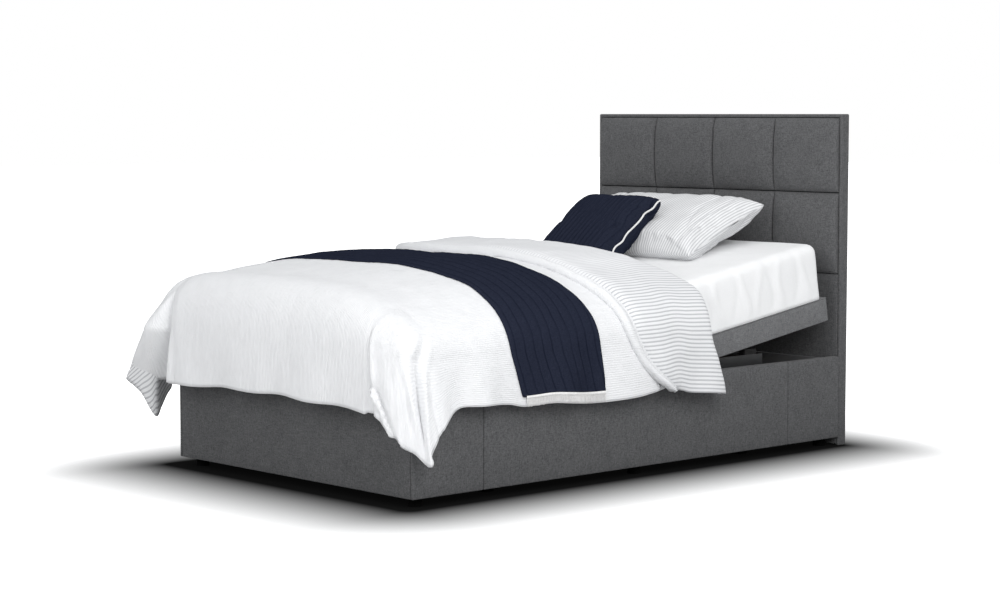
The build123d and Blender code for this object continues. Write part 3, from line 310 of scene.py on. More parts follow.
def ribbedWhite(name, striped):
    # The duvet's crinkled white cotton, and the striped reverse.
    made, tree, shader = newMaterial(name, 0.92, specular=0.06)
    across = node(tree, "ShaderNodeSeparateXYZ")
    flat = node(tree, "ShaderNodeUVMap", uv_map="clothPlace")
    join(tree, flat.outputs[0], across.inputs[0])
    crinkle = node(tree, "ShaderNodeTexNoise", in_Scale=1 / ribbedLook["crinkle"], in_Detail=3.0)
    stretched = node(tree, "ShaderNodeVectorMath", operation="MULTIPLY")
    stretched.inputs[1].default_value = ribbedLook["crinkleStretch"]
    join(tree, flat.outputs[0], stretched.inputs[0])
    join(tree, stretched.outputs[0], crinkle.inputs["Vector"])
    wander = calc(tree, "SUBTRACT", crinkle.outputs["Fac"], 0.5)
    wander = calc(tree, "MULTIPLY", wander, ribbedLook["ribWander"])
    lines = placed(tree, fineStripes, Pitch=ribbedLook["rib"], Share=ribbedLook["ribShare"])
    join(tree, calc(tree, "ADD", across.outputs[0], wander), lines.inputs["Place"])
    patches = node(tree, "ShaderNodeTexNoise", in_Scale=ribbedLook["patchScale"], in_Detail=3.0)
    join(tree, flat.outputs[0], patches.inputs["Vector"])
    fade = calc(tree, "MULTIPLY", lines.outputs["Rib"], calc(tree, "MULTIPLY", patches.outputs["Fac"], 0.7))
    crease = calc(tree, "MULTIPLY", crinkle.outputs["Fac"], ribbedLook["crinkleHeight"])
    height = calc(tree, "ADD", fade, crease)
    # The crinkles' hollows take the darker shade colour: painted shade in the creases.
    tone = colourMix(tree, crinkle.outputs["Fac"], ribbedLook["shade"], ribbedLook["white"])
    if striped:
        stripes = placed(tree, fineStripes, Pitch=ribbedLook["stripePitch"], Share=ribbedLook["stripeShare"],
                         Edge=ribbedLook["stripeEdge"])
        join(tree, across.outputs[0], stripes.inputs["Place"])
        # The lines read faint on top of the bed and clear where the cloth hangs.
        fadeOut = node(tree, "ShaderNodeMapRange")
        for index, value in enumerate(ribbedLook["stripeFade"], 1):
            fadeOut.inputs[index].default_value = value
        join(tree, calc(tree, "ABSOLUTE", across.outputs[0]), fadeOut.inputs[0])
        mask = calc(tree, "MULTIPLY", stripes.outputs["Mask"], fadeOut.outputs[0])
        tone = colourMix(tree, mask, tone, ribbedLook["stripe"])
    join(tree, tone, shader.inputs["Base Color"])
    bumpTo(tree, shader, height, ribbedLook["stripedBump" if striped else "ribBump"], ribbedLook["ribDepth"])
    return made


pillowLook = {
    "pitch": 0.0128, "share": 0.40, "edge": 0.16, "strength": 0.6, "stripe": (0.40, 0.405, 0.42),
    "shade": (0.76, 0.765, 0.775), "white": (0.86, 0.863, 0.87),
}


def pillowStriped():
    made, tree, shader = newMaterial("pillowStriped", 0.92, specular=0.06)
    stripes = placed(tree, fineStripes, Pitch=pillowLook["pitch"], Share=pillowLook["share"],
                     Edge=pillowLook["edge"])
    clothLine = node(tree, "ShaderNodeAttribute", attribute_name="stripePlace")
    join(tree, clothLine.outputs["Fac"], stripes.inputs["Place"])
    weave = placed(tree, heatherWeave, place(tree, "Object"), Thread=0.0022, Patch=0.08)
    base = colourMix(tree, weave.outputs["Mask"], pillowLook["shade"], pillowLook["white"])
    mask = calc(tree, "MULTIPLY", stripes.outputs["Mask"], pillowLook["strength"])
    tone = colourMix(tree, mask, base, pillowLook["stripe"])
    join(tree, tone, shader.inputs["Base Color"])
    bumpTo(tree, shader, weave.outputs["Height"], 0.3, 0.001)
    return made


navyLook = {
    "dark": (0.0120, 0.0150, 0.0270), "light": (0.0250, 0.0290, 0.0480), "line": (0.004, 0.006, 0.014),
    "lineShare": 0.12, "lineEdge": 0.14, "lineSway": 0.018,
}


def navyCloth(name, along, pitch):
    # Dark blue cotton with sewn lines that read darker, in one direction of its own places.
    made, tree, shader = newMaterial(name, 0.95, specular=0.0)
    weave = placed(tree, heatherWeave, place(tree, "Object"), Thread=0.0026, Patch=0.05)
    tone = colourMix(tree, weave.outputs["Mask"], navyLook["dark"], navyLook["light"])
    axes = node(tree, "ShaderNodeSeparateXYZ")
    if along == "cloth":
        source, line = node(tree, "ShaderNodeUVMap", uv_map="clothPlace").outputs[0], axes.outputs[1]
    else:
        source, line = place(tree, "Object"), axes.outputs[0]
    join(tree, source, axes.inputs[0])
    lines = placed(tree, fineStripes, Pitch=pitch, Share=navyLook["lineShare"], Edge=navyLook["lineEdge"])
    uneven = node(tree, "ShaderNodeTexNoise", in_Scale=11.0, in_Detail=3.0)
    join(tree, source, uneven.inputs["Vector"])
    sway = calc(tree, "SUBTRACT", uneven.outputs["Fac"], 0.5)
    sway = calc(tree, "MULTIPLY", sway, navyLook["lineSway"])
    join(tree, calc(tree, "ADD", line, sway), lines.inputs["Place"])
    strength = calc(tree, "MULTIPLY", lines.outputs["Mask"], uneven.outputs["Fac"])
    tone = colourMix(tree, strength, tone, navyLook["line"])
    join(tree, tone, shader.inputs["Base Color"])
    bumpTo(tree, shader, weave.outputs["Height"], 0.5, 0.0015)
    return made


hardLooks = {
    # dark, light, metallic, low roughness, high roughness, mottle size, bump
    "frameSteel": ((0.016, 0.017, 0.018), (0.034, 0.035, 0.037), 0.0, 0.38, 0.55, 0.05, 0.12),
    "platedSteel": ((0.52, 0.53, 0.54), (0.68, 0.69, 0.70), 1.0, 0.22, 0.40, 0.02, 0.05),
    "drivePlastic": ((0.020, 0.021, 0.022), (0.042, 0.043, 0.045), 0.0, 0.42, 0.60, 0.02, 0.25),
    # the feet: black plastic, darkened further to near black as painted shade, so they merge into the deep
    # shade under the bed
    "footPlasticPaintedShade": ((0.002, 0.002, 0.002), (0.005, 0.005, 0.005), 0.0, 0.75, 0.90, 0.02, 0.2),
    "boardPainted": ((0.095, 0.095, 0.098), (0.170, 0.170, 0.175), 0.0, 0.6, 0.8, 0.03, 0.2),
    "restRubber": ((0.010, 0.010, 0.010), (0.022, 0.022, 0.022), 0.0, 0.75, 0.90, 0.015, 0.3),
}


hardShine = {"footPlasticPaintedShade": 0.03}    # the feet lie in deep shade and don't shine


def hardMaterial(name):
    dark, light, metallic, low, high, size, bump = hardLooks[name]
    made, tree, shader = newMaterial(name, metallic=metallic, specular=hardShine.get(name, 0.5))
    mottle = placed(tree, surfaceMottle, place(tree, "Object"), Size=size, Low=low, High=high)
    join(tree, colourMix(tree, mottle.outputs["Mask"], dark, light), shader.inputs["Base Color"])
    join(tree, mottle.outputs["Roughness"], shader.inputs["Roughness"])
    bumpTo(tree, shader, mottle.outputs["Height"], bump, 0.0008)
    return made


def boardWood():
    # Pale sheet timber with long, slightly wavy grain.
    made, tree, shader = newMaterial("boardWood", 0.6)
    stretched = node(tree, "ShaderNodeVectorMath", operation="MULTIPLY")
    stretched.inputs[1].default_value = (12, 2.2, 26)
    join(tree, place(tree, "Object"), stretched.inputs[0])
    grain = node(tree, "ShaderNodeTexNoise", in_Scale=2.2, in_Detail=5.0, in_Distortion=0.6)
    join(tree, stretched.outputs[0], grain.inputs["Vector"])
    mottle = placed(tree, surfaceMottle, place(tree, "Object"), Size=0.06, Low=0.5, High=0.72)
    tone = colourMix(tree, grain.outputs["Fac"], (0.30, 0.185, 0.095), (0.56, 0.40, 0.25))
    paler = calc(tree, "MULTIPLY", mottle.outputs["Mask"], 0.35)
    tone = colourMix(tree, paler, tone, (0.62, 0.47, 0.32))
    join(tree, tone, shader.inputs["Base Color"])
    join(tree, mottle.outputs["Roughness"], shader.inputs["Roughness"])
    bumpTo(tree, shader, grain.outputs["Fac"], 0.2, 0.0008)
    return made


looks = {name: clothMaterial(name) for name in clothLooks}
looks.update({name: hardMaterial(name) for name in hardLooks})
looks["boardWood"] = boardWood()
looks["duvetWhite"] = ribbedWhite("duvetWhite", False)
looks["duvetStriped"] = ribbedWhite("duvetStriped", True)
looks["pillowStriped"] = pillowStriped()
looks["runnerNavy"] = navyCloth("runnerNavy", "cloth", 0.0385)
looks["cushionNavy"] = navyCloth("cushionNavy", "object", 0.0216)
print("materials made:", len(looks))


def finishMesh(shape, name, materials):
    mesh = bpy.data.meshes.new(name)
    shape.to_mesh(mesh)
    shape.free()
    for polygon in mesh.polygons:
        polygon.use_smooth = True
    made = bpy.data.objects.new(name, mesh)
    bpy.context.scene.collection.objects.link(made)
    for material in materials:
        mesh.materials.append(looks[material])
    return made


def mappedGrid(columns, rows, where, flat=None):
    # A grid whose points go to where(u, v), with its cloth places in metres as its UV map.
    shape = bmesh.new()
    bmesh.ops.create_grid(shape, x_segments=columns, y_segments=rows, size=1)
    layer = shape.loops.layers.uv.new("clothPlace")
    shares = {}
    for point in shape.verts:
        u, v = (point.co.x + 1) / 2, (point.co.y + 1) / 2
        shares[point] = (u, v)
    for face in shape.faces:
        for loop in face.loops:
            u, v = shares[loop.vert]
            loop[layer].uv = flat(u, v) if flat else (u, v)
    for point, (u, v) in shares.items():
        point.co = where(u, v)
    return shape, shares


def applied(piece):
    # The piece with its modifiers worked into its mesh.
    bpy.context.view_layer.update()
    graph = bpy.context.evaluated_depsgraph_get()
    mesh = bpy.data.meshes.new_from_object(piece.evaluated_get(graph), depsgraph=graph)
    piece.modifiers.clear()
    piece.data = mesh
    return piece


def walled(piece, thickness, inside=0, thin=None):
    # Gives a cloth surface its thickness inwards; thin holds each point's share of it.
    wall = piece.modifiers.new("wall", "SOLIDIFY")
    wall.thickness = thickness
    wall.offset = -1
    wall.use_rim = True
    wall.material_offset = inside
    if thin:
        group = piece.vertex_groups.new(name="wall")
        for point in piece.data.vertices:
            group.add([point.index], thin[point.index], "REPLACE")
        wall.vertex_group = "wall"
    return applied(piece)


def rounded(shape, edges, offset, segments):
    bmesh.ops.bevel(shape, geom=edges, offset=offset, offset_type="OFFSET", segments=segments,
                    affect="EDGES", profile=0.5, material=-1, clamp_overlap=True)


def boxShape(low, high, edge, segments):
    shape = bmesh.new()
    bmesh.ops.create_cube(shape, size=1)
    size = Vector(high) - Vector(low)
    bmesh.ops.scale(shape, vec=size, verts=shape.verts)
    bmesh.ops.translate(shape, vec=(Vector(high) + Vector(low)) / 2, verts=shape.verts)
    rounded(shape, shape.edges[:], edge, segments)
    return shape


def cutPlane(shape, at, normal, **settings):
    bmesh.ops.bisect_plane(shape, geom=shape.verts[:] + shape.edges[:] + shape.faces[:],
                           plane_co=at, plane_no=normal, **settings)


def rimOf(shape):
    return [edge for edge in shape.edges if edge.is_boundary]


def pointsOf(grown):
    return [item for item in grown["geom"] if isinstance(item, bmesh.types.BMVert)]


def faceOut(shape):
    bmesh.ops.recalc_face_normals(shape, faces=shape.faces[:])


def sliced(shape, axis, places):
    # Cuts rings across a shape, so that it can bend or swell there.
    normal = [0, 0, 0]
    normal[axis] = 1
    for value in places:
        at = [0, 0, 0]
        at[axis] = value
        cutPlane(shape, at, normal, dist=1e-5)


def steps(start, end, pitch):
    count = max(2, round(abs(end - start) / pitch))
    return [start + (end - start) * index / count for index in range(1, count)]


def mergeInto(target, source):
    # Adds a shape to another one and frees it.
    mesh = bpy.data.meshes.new("part")
    source.to_mesh(mesh)
    source.free()
    target.from_mesh(mesh)
    bpy.data.meshes.remove(mesh)


duvet = {
    "centreHalf": 0.50, "firstStation": 0.05, "kneeZ": 0.45, "footKneeZ": 0.48, "footReach": 0.145,
    "rightPower": 2.25, "leftPower": 5.0, "footPower": 2.6, "leftSpread": 1.03, "leftHemZ": 0.283,
    "column": 0.0105, "row": 0.0125, "wall": 0.028, "cornerPower": 2.3, "tentOut": 0.9,
    "sideReach": 0.655, "sideRise": 0.255, "sideHang": 0.165, "footRise": 0.19, "footHang": 0.18,
    # waves in the sides: length and share; seeds by side; the uneven part's share and size; the depth
    "sideWaves": ((0.33, 0.55), (0.19, 0.45)), "waveSeeds": {1: 3.1, -1: 7.7}, "uneven": (0.8, 0.11),
    "waveDepth": 0.010,
    # unevenness of the filling: depth, stretch across and along, size, seed
    "puffs": ((0.0045, 1, 1, 0.23, 1.3), (0.0022, 1, 1, 0.09, 4.1), (0.0010, 2.2, 0.7, 0.03, 2.7)),
    # the foot hem's height in the middle and its fall at the corners, and its place along
    "footHemZ": 0.306, "footHemFall": 0.014, "footHem": -0.094,
    # where the pieces meet along the bed; the upper cut and its end at the sides
    "lowerCut": 0.695, "upperCut": (0.957, 1.03), "end": 1.16,
    "stations": (
        # along, crown, side, hem, hem height
        (0.05, 0.6705, 0.655, 0.694, 0.243), (0.08, 0.6712, 0.655, 0.686, 0.268),
        (0.115, 0.6742, 0.655, 0.676, 0.289), (0.15, 0.6792, 0.655, 0.672, 0.301),
        (0.20, 0.686, 0.655, 0.675, 0.302), (0.36, 0.703, 0.655, 0.668, 0.294),
        (0.42, 0.710, 0.655, 0.660, 0.281), (0.54, 0.718, 0.655, 0.672, 0.284),
        (0.68, 0.717, 0.655, 0.660, 0.271), (0.76, 0.711, 0.655, 0.666, 0.268),
        (0.86, 0.713, 0.655, 0.672, 0.268), (0.95, 0.716, 0.655, 0.664, 0.276),
        (1.10, 0.718, 0.650, 0.656, 0.292), (1.34, 0.716, 0.646, 0.650, 0.296)),
    "rightCornerHem": (
        # place round the corner from the side to the foot, across, along, height
        (0.00, 0.694, 0.050, 0.243), (0.12, 0.697, 0.037, 0.228), (0.25, 0.701, 0.020, 0.207),
        (0.40, 0.703, -0.004, 0.176), (0.50, 0.708, -0.022, 0.142), (0.60, 0.672, -0.056, 0.183),
        (0.70, 0.643, -0.092, 0.222), (0.80, 0.600, -0.097, 0.250), (0.90, 0.560, -0.098, 0.286),
        (1.00, 0.500, -0.088, 0.296)),
    "leftCornerHem": (
        (0.00, 0.715, 0.050, 0.283), (0.15, 0.712, 0.035, 0.262), (0.30, 0.708, 0.012, 0.225),
        (0.40, 0.700, -0.015, 0.192), (0.50, 0.686, -0.050, 0.166), (0.58, 0.712, -0.088, 0.248),
        (0.66, 0.757, -0.114, 0.292), (0.74, 0.726, -0.100, 0.294), (0.82, 0.675, -0.072, 0.291),
        (0.89, 0.615, -0.036, 0.294), (0.945, 0.548, -0.096, 0.298), (1.00, 0.500, -0.092, 0.292)),
    # the left corner's tent: place round the corner, width, how far it stands out, and its power
    "leftTent": (0.68, 0.17, 0.074, 1.35),
    # the corners' folds: place at the hem, slant up the drape, width, depth, where on the way down it starts
    "rightFolds": (
        (0.13, 0.0, 0.050, -0.006, 0.45), (0.54, -0.76, 0.055, -0.034, 0.26),
        (0.42, -0.76, 0.060, 0.012, 0.30), (0.60, -0.20, 0.035, -0.018, 0.52),
        (0.66, -0.20, 0.030, 0.010, 0.52), (0.71, 1.0, 0.024, -0.015, 0.76),
        (0.77, 1.0, 0.024, 0.010, 0.74), (0.905, 0.0, 0.030, 0.012, 0.16),
        (0.955, 0.0, 0.022, -0.022, 0.14)),
    "leftFolds": (
        (0.20, 0.0, 0.060, -0.010, 0.40), (0.88, 0.0, 0.050, -0.060, 0.14),
        (0.955, 0.0, 0.025, 0.010, 0.20)),
}


def sidePower(side):
    return duvet["rightPower"] if side > 0 else duvet["leftPower"]


def crownHeight(across, crown, halfWidth):
    n = sidePower(across)
    return duvet["kneeZ"] + (crown - duvet["kneeZ"]) * (1 - min(abs(across) / halfWidth, 1) ** n) ** (1 / n)


def outShare(angle, power):
    # How far out a rounded edge reaches at an angle from its top; upShare is how high it is there.
    return math.sin(angle) ** (2 / power)


def upShare(angle, power):
    return max(math.cos(angle), 0) ** (2 / power)


def curveTable(start, power, reachOut, rise, hang, count=60):
    # Even steps down a rounded edge: (share of the whole, angle) and the share where it ends.
    angles = [lerp(start, math.pi / 2, k / count) for k in range(count + 1)]
    spots = [(reachOut * outShare(a, power), rise * upShare(a, power)) for a in angles]
    lengths = [0.0]
    for a, b in zip(spots, spots[1:]):
        lengths.append(lengths[-1] + math.hypot(b[0] - a[0], b[1] - a[1]))
    whole = lengths[-1] + hang
    return [(length / whole, angle) for length, angle in zip(lengths, angles)], lengths[-1] / whole, whole


def startAngle(across, halfWidth, power):
    return math.asin((across / halfWidth) ** (power / 2))


sideTables = {
    side: curveTable(startAngle(duvet["centreHalf"], duvet["sideReach"], sidePower(side)), sidePower(side),
                     duvet["sideReach"], duvet["sideRise"], duvet["sideHang"])
    for side in (1, -1)}
footTable = curveTable(0.0, duvet["footPower"], duvet["footReach"], duvet["footRise"], duvet["footHang"])


def angleAt(table, share):
    rows = table[0]
    share = min(share, rows[-1][0])
    for (a, first), (b, second) in zip(rows, rows[1:]):
        if share <= b:
            return lerp(first, second, (share - a) / (b - a))
    return rows[-1][1]


def sideWave(side, along, down):
    # Soft upright waves in the hanging sides, growing towards the hem.
    seed = duvet["waveSeeds"][side]
    (longWave, longShare), (shortWave, shortShare) = duvet["sideWaves"]
    unevenShare, unevenSize = duvet["uneven"]
    wave = (longShare * math.sin(along * 2 * math.pi / longWave + seed)
            + shortShare * math.sin(along * 2 * math.pi / shortWave + 2 * seed)
            + unevenShare * soft(along, seed, 0, unevenSize))
    return wave * duvet["waveDepth"] * ease(down, 0.35, 1.0) * ease(along, 0.02, 0.16)


def puff(across, along):
    # Slow unevenness of the filling.
    return sum(depth * soft(across * acrossStretch, along * alongStretch, 0, size, seed)
               for depth, acrossStretch, alongStretch, size, seed in duvet["puffs"])


def sideEdge(side, along, down):
    # The edge of the section at a station: across and height.
    crown, halfWidth, hem, hemZ = throughPoints(duvet["stations"], along)
    if side < 0:
        hem *= duvet["leftSpread"]
        hemZ = max(hemZ, duvet["leftHemZ"])
    table = sideTables[side]
    power = sidePower(side)
    if down <= table[1]:
        angle = angleAt(table, down)
        first = startAngle(duvet["centreHalf"], halfWidth, power)
        angle = lerp(first, math.pi / 2, (angle - table[0][0][1]) / (math.pi / 2 - table[0][0][1]))
        x = halfWidth * outShare(angle, power)
        z = duvet["kneeZ"] + (crown - duvet["kneeZ"]) * upShare(angle, power)
    else:
        t = (down - table[1]) / (1 - table[1])
        x = lerp(halfWidth, hem, t)
        z = lerp(duvet["kneeZ"], hemZ, t)
    hemWave = 0.005 * soft(along, 5.0 * side, 0, 0.12, 2.2) * ease(down, 0.7, 1)
    return side * (x + sideWave(side, along, down)), z + hemWave


def bodyPoint(side, down, across, along):
    # A place on the duvet from its first station to its head end.
    if side == 0:
        crown, halfWidth = throughPoints(duvet["stations"], along)[:2]
        x, z = across, crownHeight(across, crown, halfWidth)
    else:
        x, z = sideEdge(side, along, down)
    lift = puff(x, along)
    if side == 0:
        z += lift
    else:
        turn = ease(down, 0, sideTables[side][1])
        z += lift * (1 - turn)
        x += side * lift * turn
    return Vector((x, along + footFace, z))


def footPoint(across, down):
    # A place on the drape over the mattress's foot.
    first = duvet["firstStation"]
    crown, halfWidth = throughPoints(duvet["stations"], first)[:2]
    top = crownHeight(across, crown, halfWidth)
    hemZ = duvet["footHemZ"] - duvet["footHemFall"] * (across / 0.5) ** 2 + 0.003 * math.sin(across * 21)
    hemAlong = duvet["footHem"] + 0.006 * math.sin(across * 2 * math.pi / 0.34 + 0.6)
    hemAlong += 0.004 * soft(across, 0, 0, 0.08, 3)
    if down <= footTable[1]:
        angle = angleAt(footTable, down)
        n = duvet["footPower"]
        along = first - duvet["footReach"] * outShare(angle, n)
        z = duvet["footKneeZ"] + (top - duvet["footKneeZ"]) * upShare(angle, n)
    else:
        t = (down - footTable[1]) / (1 - footTable[1])
        along = lerp(first - duvet["footReach"], hemAlong, t)
        z = lerp(duvet["footKneeZ"], hemZ, t)
    lift = puff(across, along - (duvet["footKneeZ"] - z if z < duvet["footKneeZ"] else 0))
    turn = ease(down, 0, footTable[1])
    return Vector((across, along - lift * turn + footFace, z + lift * (1 - turn)))


def cornerPoint(side, outward, footward):
    # A place on the corner, which hangs in folds from the mattress's corner to its low tip.
    down = max(outward, footward)
    if down < 1e-6:
        return bodyPoint(0, 0, side * duvet["centreHalf"], duvet["firstStation"])
    turn = 0.5 * footward / outward if outward >= footward else 1 - 0.5 * outward / footward
    first = duvet["firstStation"]
    crown, halfWidth = throughPoints(duvet["stations"], first)[:2]
    apexX = duvet["centreHalf"]
    apexZ = crownHeight(side * apexX, crown, halfWidth)
    table = sideTables[side]
    power, footPower = sidePower(side), duvet["footPower"]
    kneeShare = lerp(table[1], footTable[1], turn)
    angle = turn * math.pi / 2
    shoulder = Vector((
        apexX + (halfWidth - apexX) * upShare(angle, duvet["cornerPower"]),
        first - duvet["footReach"] * outShare(angle, duvet["cornerPower"]),
        lerp(duvet["kneeZ"], duvet["footKneeZ"], turn)))
    tent = 0.0
    if side < 0:
        middle, width, reach, tentPower = duvet["leftTent"]
        tent = dent(turn, middle, width) * ease(turn, 0, 0.25) * ease(1 - turn, 0, 0.2)
        tentOut = duvet["tentOut"]
        shoulder += Vector((math.cos(angle) * tentOut, -math.sin(angle) * tentOut, 0)) * reach * tent
    if down <= kneeShare:
        k = down / kneeShare
        sideAngle = angleAt(table, k * table[1])
        footAngle = angleAt(footTable, k * footTable[1])
        outSide = (halfWidth * outShare(sideAngle, power) - apexX) / (halfWidth - apexX)
        outFoot = outShare(footAngle, footPower)
        dropSide = (duvet["kneeZ"] + (crown - duvet["kneeZ"]) * upShare(sideAngle, power)
                    - duvet["kneeZ"]) / (apexZ - duvet["kneeZ"])
        dropFoot = upShare(footAngle, footPower)
        out = lerp(outSide, outFoot, ease(turn))
        drop = lerp(dropSide, dropFoot, ease(turn))
        if tent:
            bend = k * math.pi / 2
            out = lerp(out, outShare(bend, tentPower), tent)
            drop = lerp(drop, upShare(bend, tentPower), tent)
        x = lerp(apexX, shoulder.x, out)
        along = lerp(first, shoulder.y, out)
        z = lerp(shoulder.z, apexZ, drop)
    else:
        t = (down - kneeShare) / (1 - kneeShare)
        hemX, hemAlong, hemZ = throughPoints(duvet["rightCornerHem" if side > 0 else "leftCornerHem"], turn)
        x = lerp(shoulder.x, hemX, t)
        along = lerp(shoulder.y, hemAlong, t)
        z = lerp(shoulder.z, hemZ, t)
    outX, outAlong = math.cos(angle), -math.sin(angle)
    fold = 0.0
    for middle, slant, width, depth, start in duvet["rightFolds" if side > 0 else "leftFolds"]:
        fold += depth * dent(turn, middle + slant * (1 - down), width) * ease(down, start, 0.85)
    fold *= 1 - 0.4 * ease(down, 0.85, 1)
    lift = puff(side * x, along + z)
    rounded = ease(down, 0, kneeShare)
    edgeFade = ease(turn, 0, 0.06) * ease(1 - turn, 0, 0.06)
    move = fold * edgeFade + lift * rounded
    return Vector((side * (x + move * outX), along + move * outAlong + footFace, z + lift * (1 - rounded)))


def sheetPoint(acrossCloth, alongCloth):
    # A place on the duvet from its flat cloth places: across from the middle, along from the first station.
    half = duvet["centreHalf"]
    side = 1 if acrossCloth > half else -1 if acrossCloth < -half else 0
    outward = min((abs(acrossCloth) - half) / sideTables[side][2], 1) if side else 0
    if alongCloth >= 0:
        return bodyPoint(side, outward, acrossCloth, duvet["firstStation"] + alongCloth)
    footward = min(-alongCloth / footTable[2], 1)
    if side == 0:
        return footPoint(acrossCloth, footward)
    return cornerPoint(side, outward, footward)


clothLeft = -duvet["centreHalf"] - sideTables[-1][2]
clothRight = duvet["centreHalf"] + sideTables[1][2]
clothFoot = -footTable[2]


def duvetSurface(name, start, end):
    # start and end give the cloth's ends at an across place.
    columns = round((clothRight - clothLeft) / duvet["column"])
    rows = round((end(0.0) - start(0.0)) / duvet["row"])

    def flat(u, v):
        across = lerp(clothLeft, clothRight, u)
        return across, lerp(start(across), end(across), v)

    shape = mappedGrid(columns, rows, lambda u, v: sheetPoint(*flat(u, v)), flat)[0]
    return finishMesh(shape, name, ("duvetWhite", "duvetStriped"))


def hemThin(piece):
    # Thick in the middle of the bed, thin where it hangs: a share of the wall for each point.
    thin = {}
    for point in piece.data.vertices:
        x, y, z = point.co
        share = ease(z, 0.42, 0.66)
        # The left corner's wing is folded nearly flat on itself, so its two layers stay thin.
        wing = ease(-x, 0.55, 0.62) * ease(footFace - y, -0.08, -0.02) * ease(z, 0.66, 0.56)
        thin[point.index] = lerp(lerp(0.38, 1.0, share), 0.10, wing)
    return thin


lowerSplit = duvet["lowerCut"] - duvet["firstStation"]
headEnd = duvet["end"] - duvet["firstStation"]


def upperSplit(across):
    return lerp(*duvet["upperCut"], ease(abs(across), 0.3, 0.9)) - duvet["firstStation"]


def makeDuvet():
    spans = (
        ("duvetFoot", lambda a: clothFoot, lambda a: lowerSplit),
        ("duvetMiddle", lambda a: lowerSplit, upperSplit),
        ("duvetHead", upperSplit, lambda a: headEnd))
    made = {}
    for name, start, end in spans:
        piece = duvetSurface(name, start, end)
        made[name] = walled(piece, duvet["wall"], 1, hemThin(piece))
    return made


duvetPieces = makeDuvet()
print("duvet made")


foldBack = {
    "stations": (
        # along, crown, side, hem, hem height
        (0.74, 0.738, 0.682, 0.690, 0.275), (0.93, 0.744, 0.684, 0.692, 0.275),
        (1.005, 0.747, 0.688, 0.698, 0.276), (1.08, 0.750, 0.686, 0.692, 0.283),
        (1.15, 0.752, 0.686, 0.694, 0.270), (1.24, 0.750, 0.686, 0.692, 0.262),
        (1.36, 0.744, 0.684, 0.688, 0.249), (1.50, 0.744, 0.684, 0.688, 0.249)),
    # share of the way from the crown to the hem, and the place along the bed
    "rollRight": ((0, 0.785), (0.29, 0.797), (0.45, 0.816), (0.59, 0.842), (0.77, 0.872), (0.875, 0.925),
                  (0.93, 0.975), (1, 1.050)),
    "rollLeft": ((0, 0.785), (0.15, 0.828), (0.3, 0.895), (0.45, 0.975), (0.6, 1.032), (0.8, 1.060),
                 (1, 1.078)),
    "headRight": ((0, 1.135), (0.17, 1.150), (0.31, 1.195), (0.43, 1.245), (0.52, 1.275), (0.65, 1.262),
                  (0.79, 1.262), (0.90, 1.298), (1, 1.325)),
    "headLeft": ((0, 1.135), (0.3, 1.160), (0.5, 1.200), (0.7, 1.215), (1, 1.270)),
    "rollRadius": 0.0165, "wall": 0.012, "columns": 190, "bodyRows": 46, "rollRows": 14, "cut": 0.9575,
    # the seam behind the roll: place in radii, how deep
    "seam": ((2.0, 0.010), (2.3, 0.019), (2.65, 0.011), (3.5, 0.0015)),
    # where its width is measured, the left hem's spread, and the flat cloth's length round the crown
    "measured": 1.0, "leftSpread": 1.02, "curve": (0.80, 0.55),
    # the head edge, on top and at the sides: how far it falls and how far it reaches
    "fall": (0.100, 0.044), "reach": (0.060, 0.030),
}


def foldSection(along, share):
    # The fold's outer line at a place along: share -1 is the left hem, 0 the crown, 1 the right hem.
    crown, halfWidth, hem, hemZ = throughPoints(foldBack["stations"], along)
    side = 1 if share >= 0 else -1
    if side < 0:
        hem *= foldBack["leftSpread"]
    n = sidePower(side)
    rise = crown - duvet["kneeZ"]
    curved = foldBack["curve"][0] * halfWidth + foldBack["curve"][1] * rise
    whole = curved + duvet["kneeZ"] - hemZ
    down = abs(share) * whole
    if down <= curved:
        angle = down / curved * math.pi / 2
        x = halfWidth * outShare(angle, n)
        z = duvet["kneeZ"] + rise * upShare(angle, n)
    else:
        t = (down - curved) / (whole - curved)
        x = lerp(halfWidth, hem, t) + 0.008 * math.sin(along * 26) * ease(t)
        z = lerp(duvet["kneeZ"], hemZ, t)
    return side * x, z


def foldNormal(along, share):
    a = foldSection(along, max(share - 0.01, -1))
    b = foldSection(along, min(share + 0.01, 1))
    dx, dz = b[0] - a[0], b[1] - a[1]
    length = math.hypot(dx, dz) or 1
    return -dz / length, dx / length


def foldProfile(share):
    # From under the roll, round it, over the body and round the head edge: (place along, how far inwards).
    side = "Right" if share >= 0 else "Left"
    roll = throughPoints(foldBack["roll" + side], abs(share))[0]
    head = throughPoints(foldBack["head" + side], abs(share))[0]
    r = foldBack["rollRadius"]
    fall = lerp(*foldBack["fall"], ease(abs(share), 0.25, 0.62))
    reach = lerp(*foldBack["reach"], ease(abs(share), 0.3, 0.7))
    line = [(roll + 0.030, 2 * r + 0.004)]
    for degrees in range(-90, 91, 18):
        a = math.radians(degrees)
        line.append((roll + r - r * math.cos(a), r + 0.001 - r * math.sin(a)))
    line += [(roll + radii * r, depth) for radii, depth in foldBack["seam"]]
    first, last = roll + 5.0 * r, head - reach
    count = foldBack["bodyRows"]
    line += [(lerp(first, last, k / count), 0.0) for k in range(count + 1)]
    for degrees in range(8, 91, 8):
        a = math.radians(degrees)
        line.append((last + reach * math.sin(a) ** 0.9, fall * 0.5 * (1 - math.cos(a) ** 0.9)))
    for k in range(1, 8):
        t = k / 7
        line.append((head - 0.018 * t * t, fall * (0.5 + 0.5 * t)))
    return line


def evenShares(count=800):
    # The fold's section from the left hem to the right one: (length from the crown, share).
    rows = [(0.0, 0.0)]
    for sign in (-1, 1):
        length, before = 0.0, foldSection(foldBack["measured"], 0.0)
        side = []
        for index in range(1, count + 1):
            spot = foldSection(foldBack["measured"], sign * (index / count) ** 2)
            length += math.hypot(spot[0] - before[0], spot[1] - before[1])
            before = spot
            side.append((sign * length, sign * (index / count) ** 2))
        rows = side[::-1] + rows if sign < 0 else rows + side
    return rows


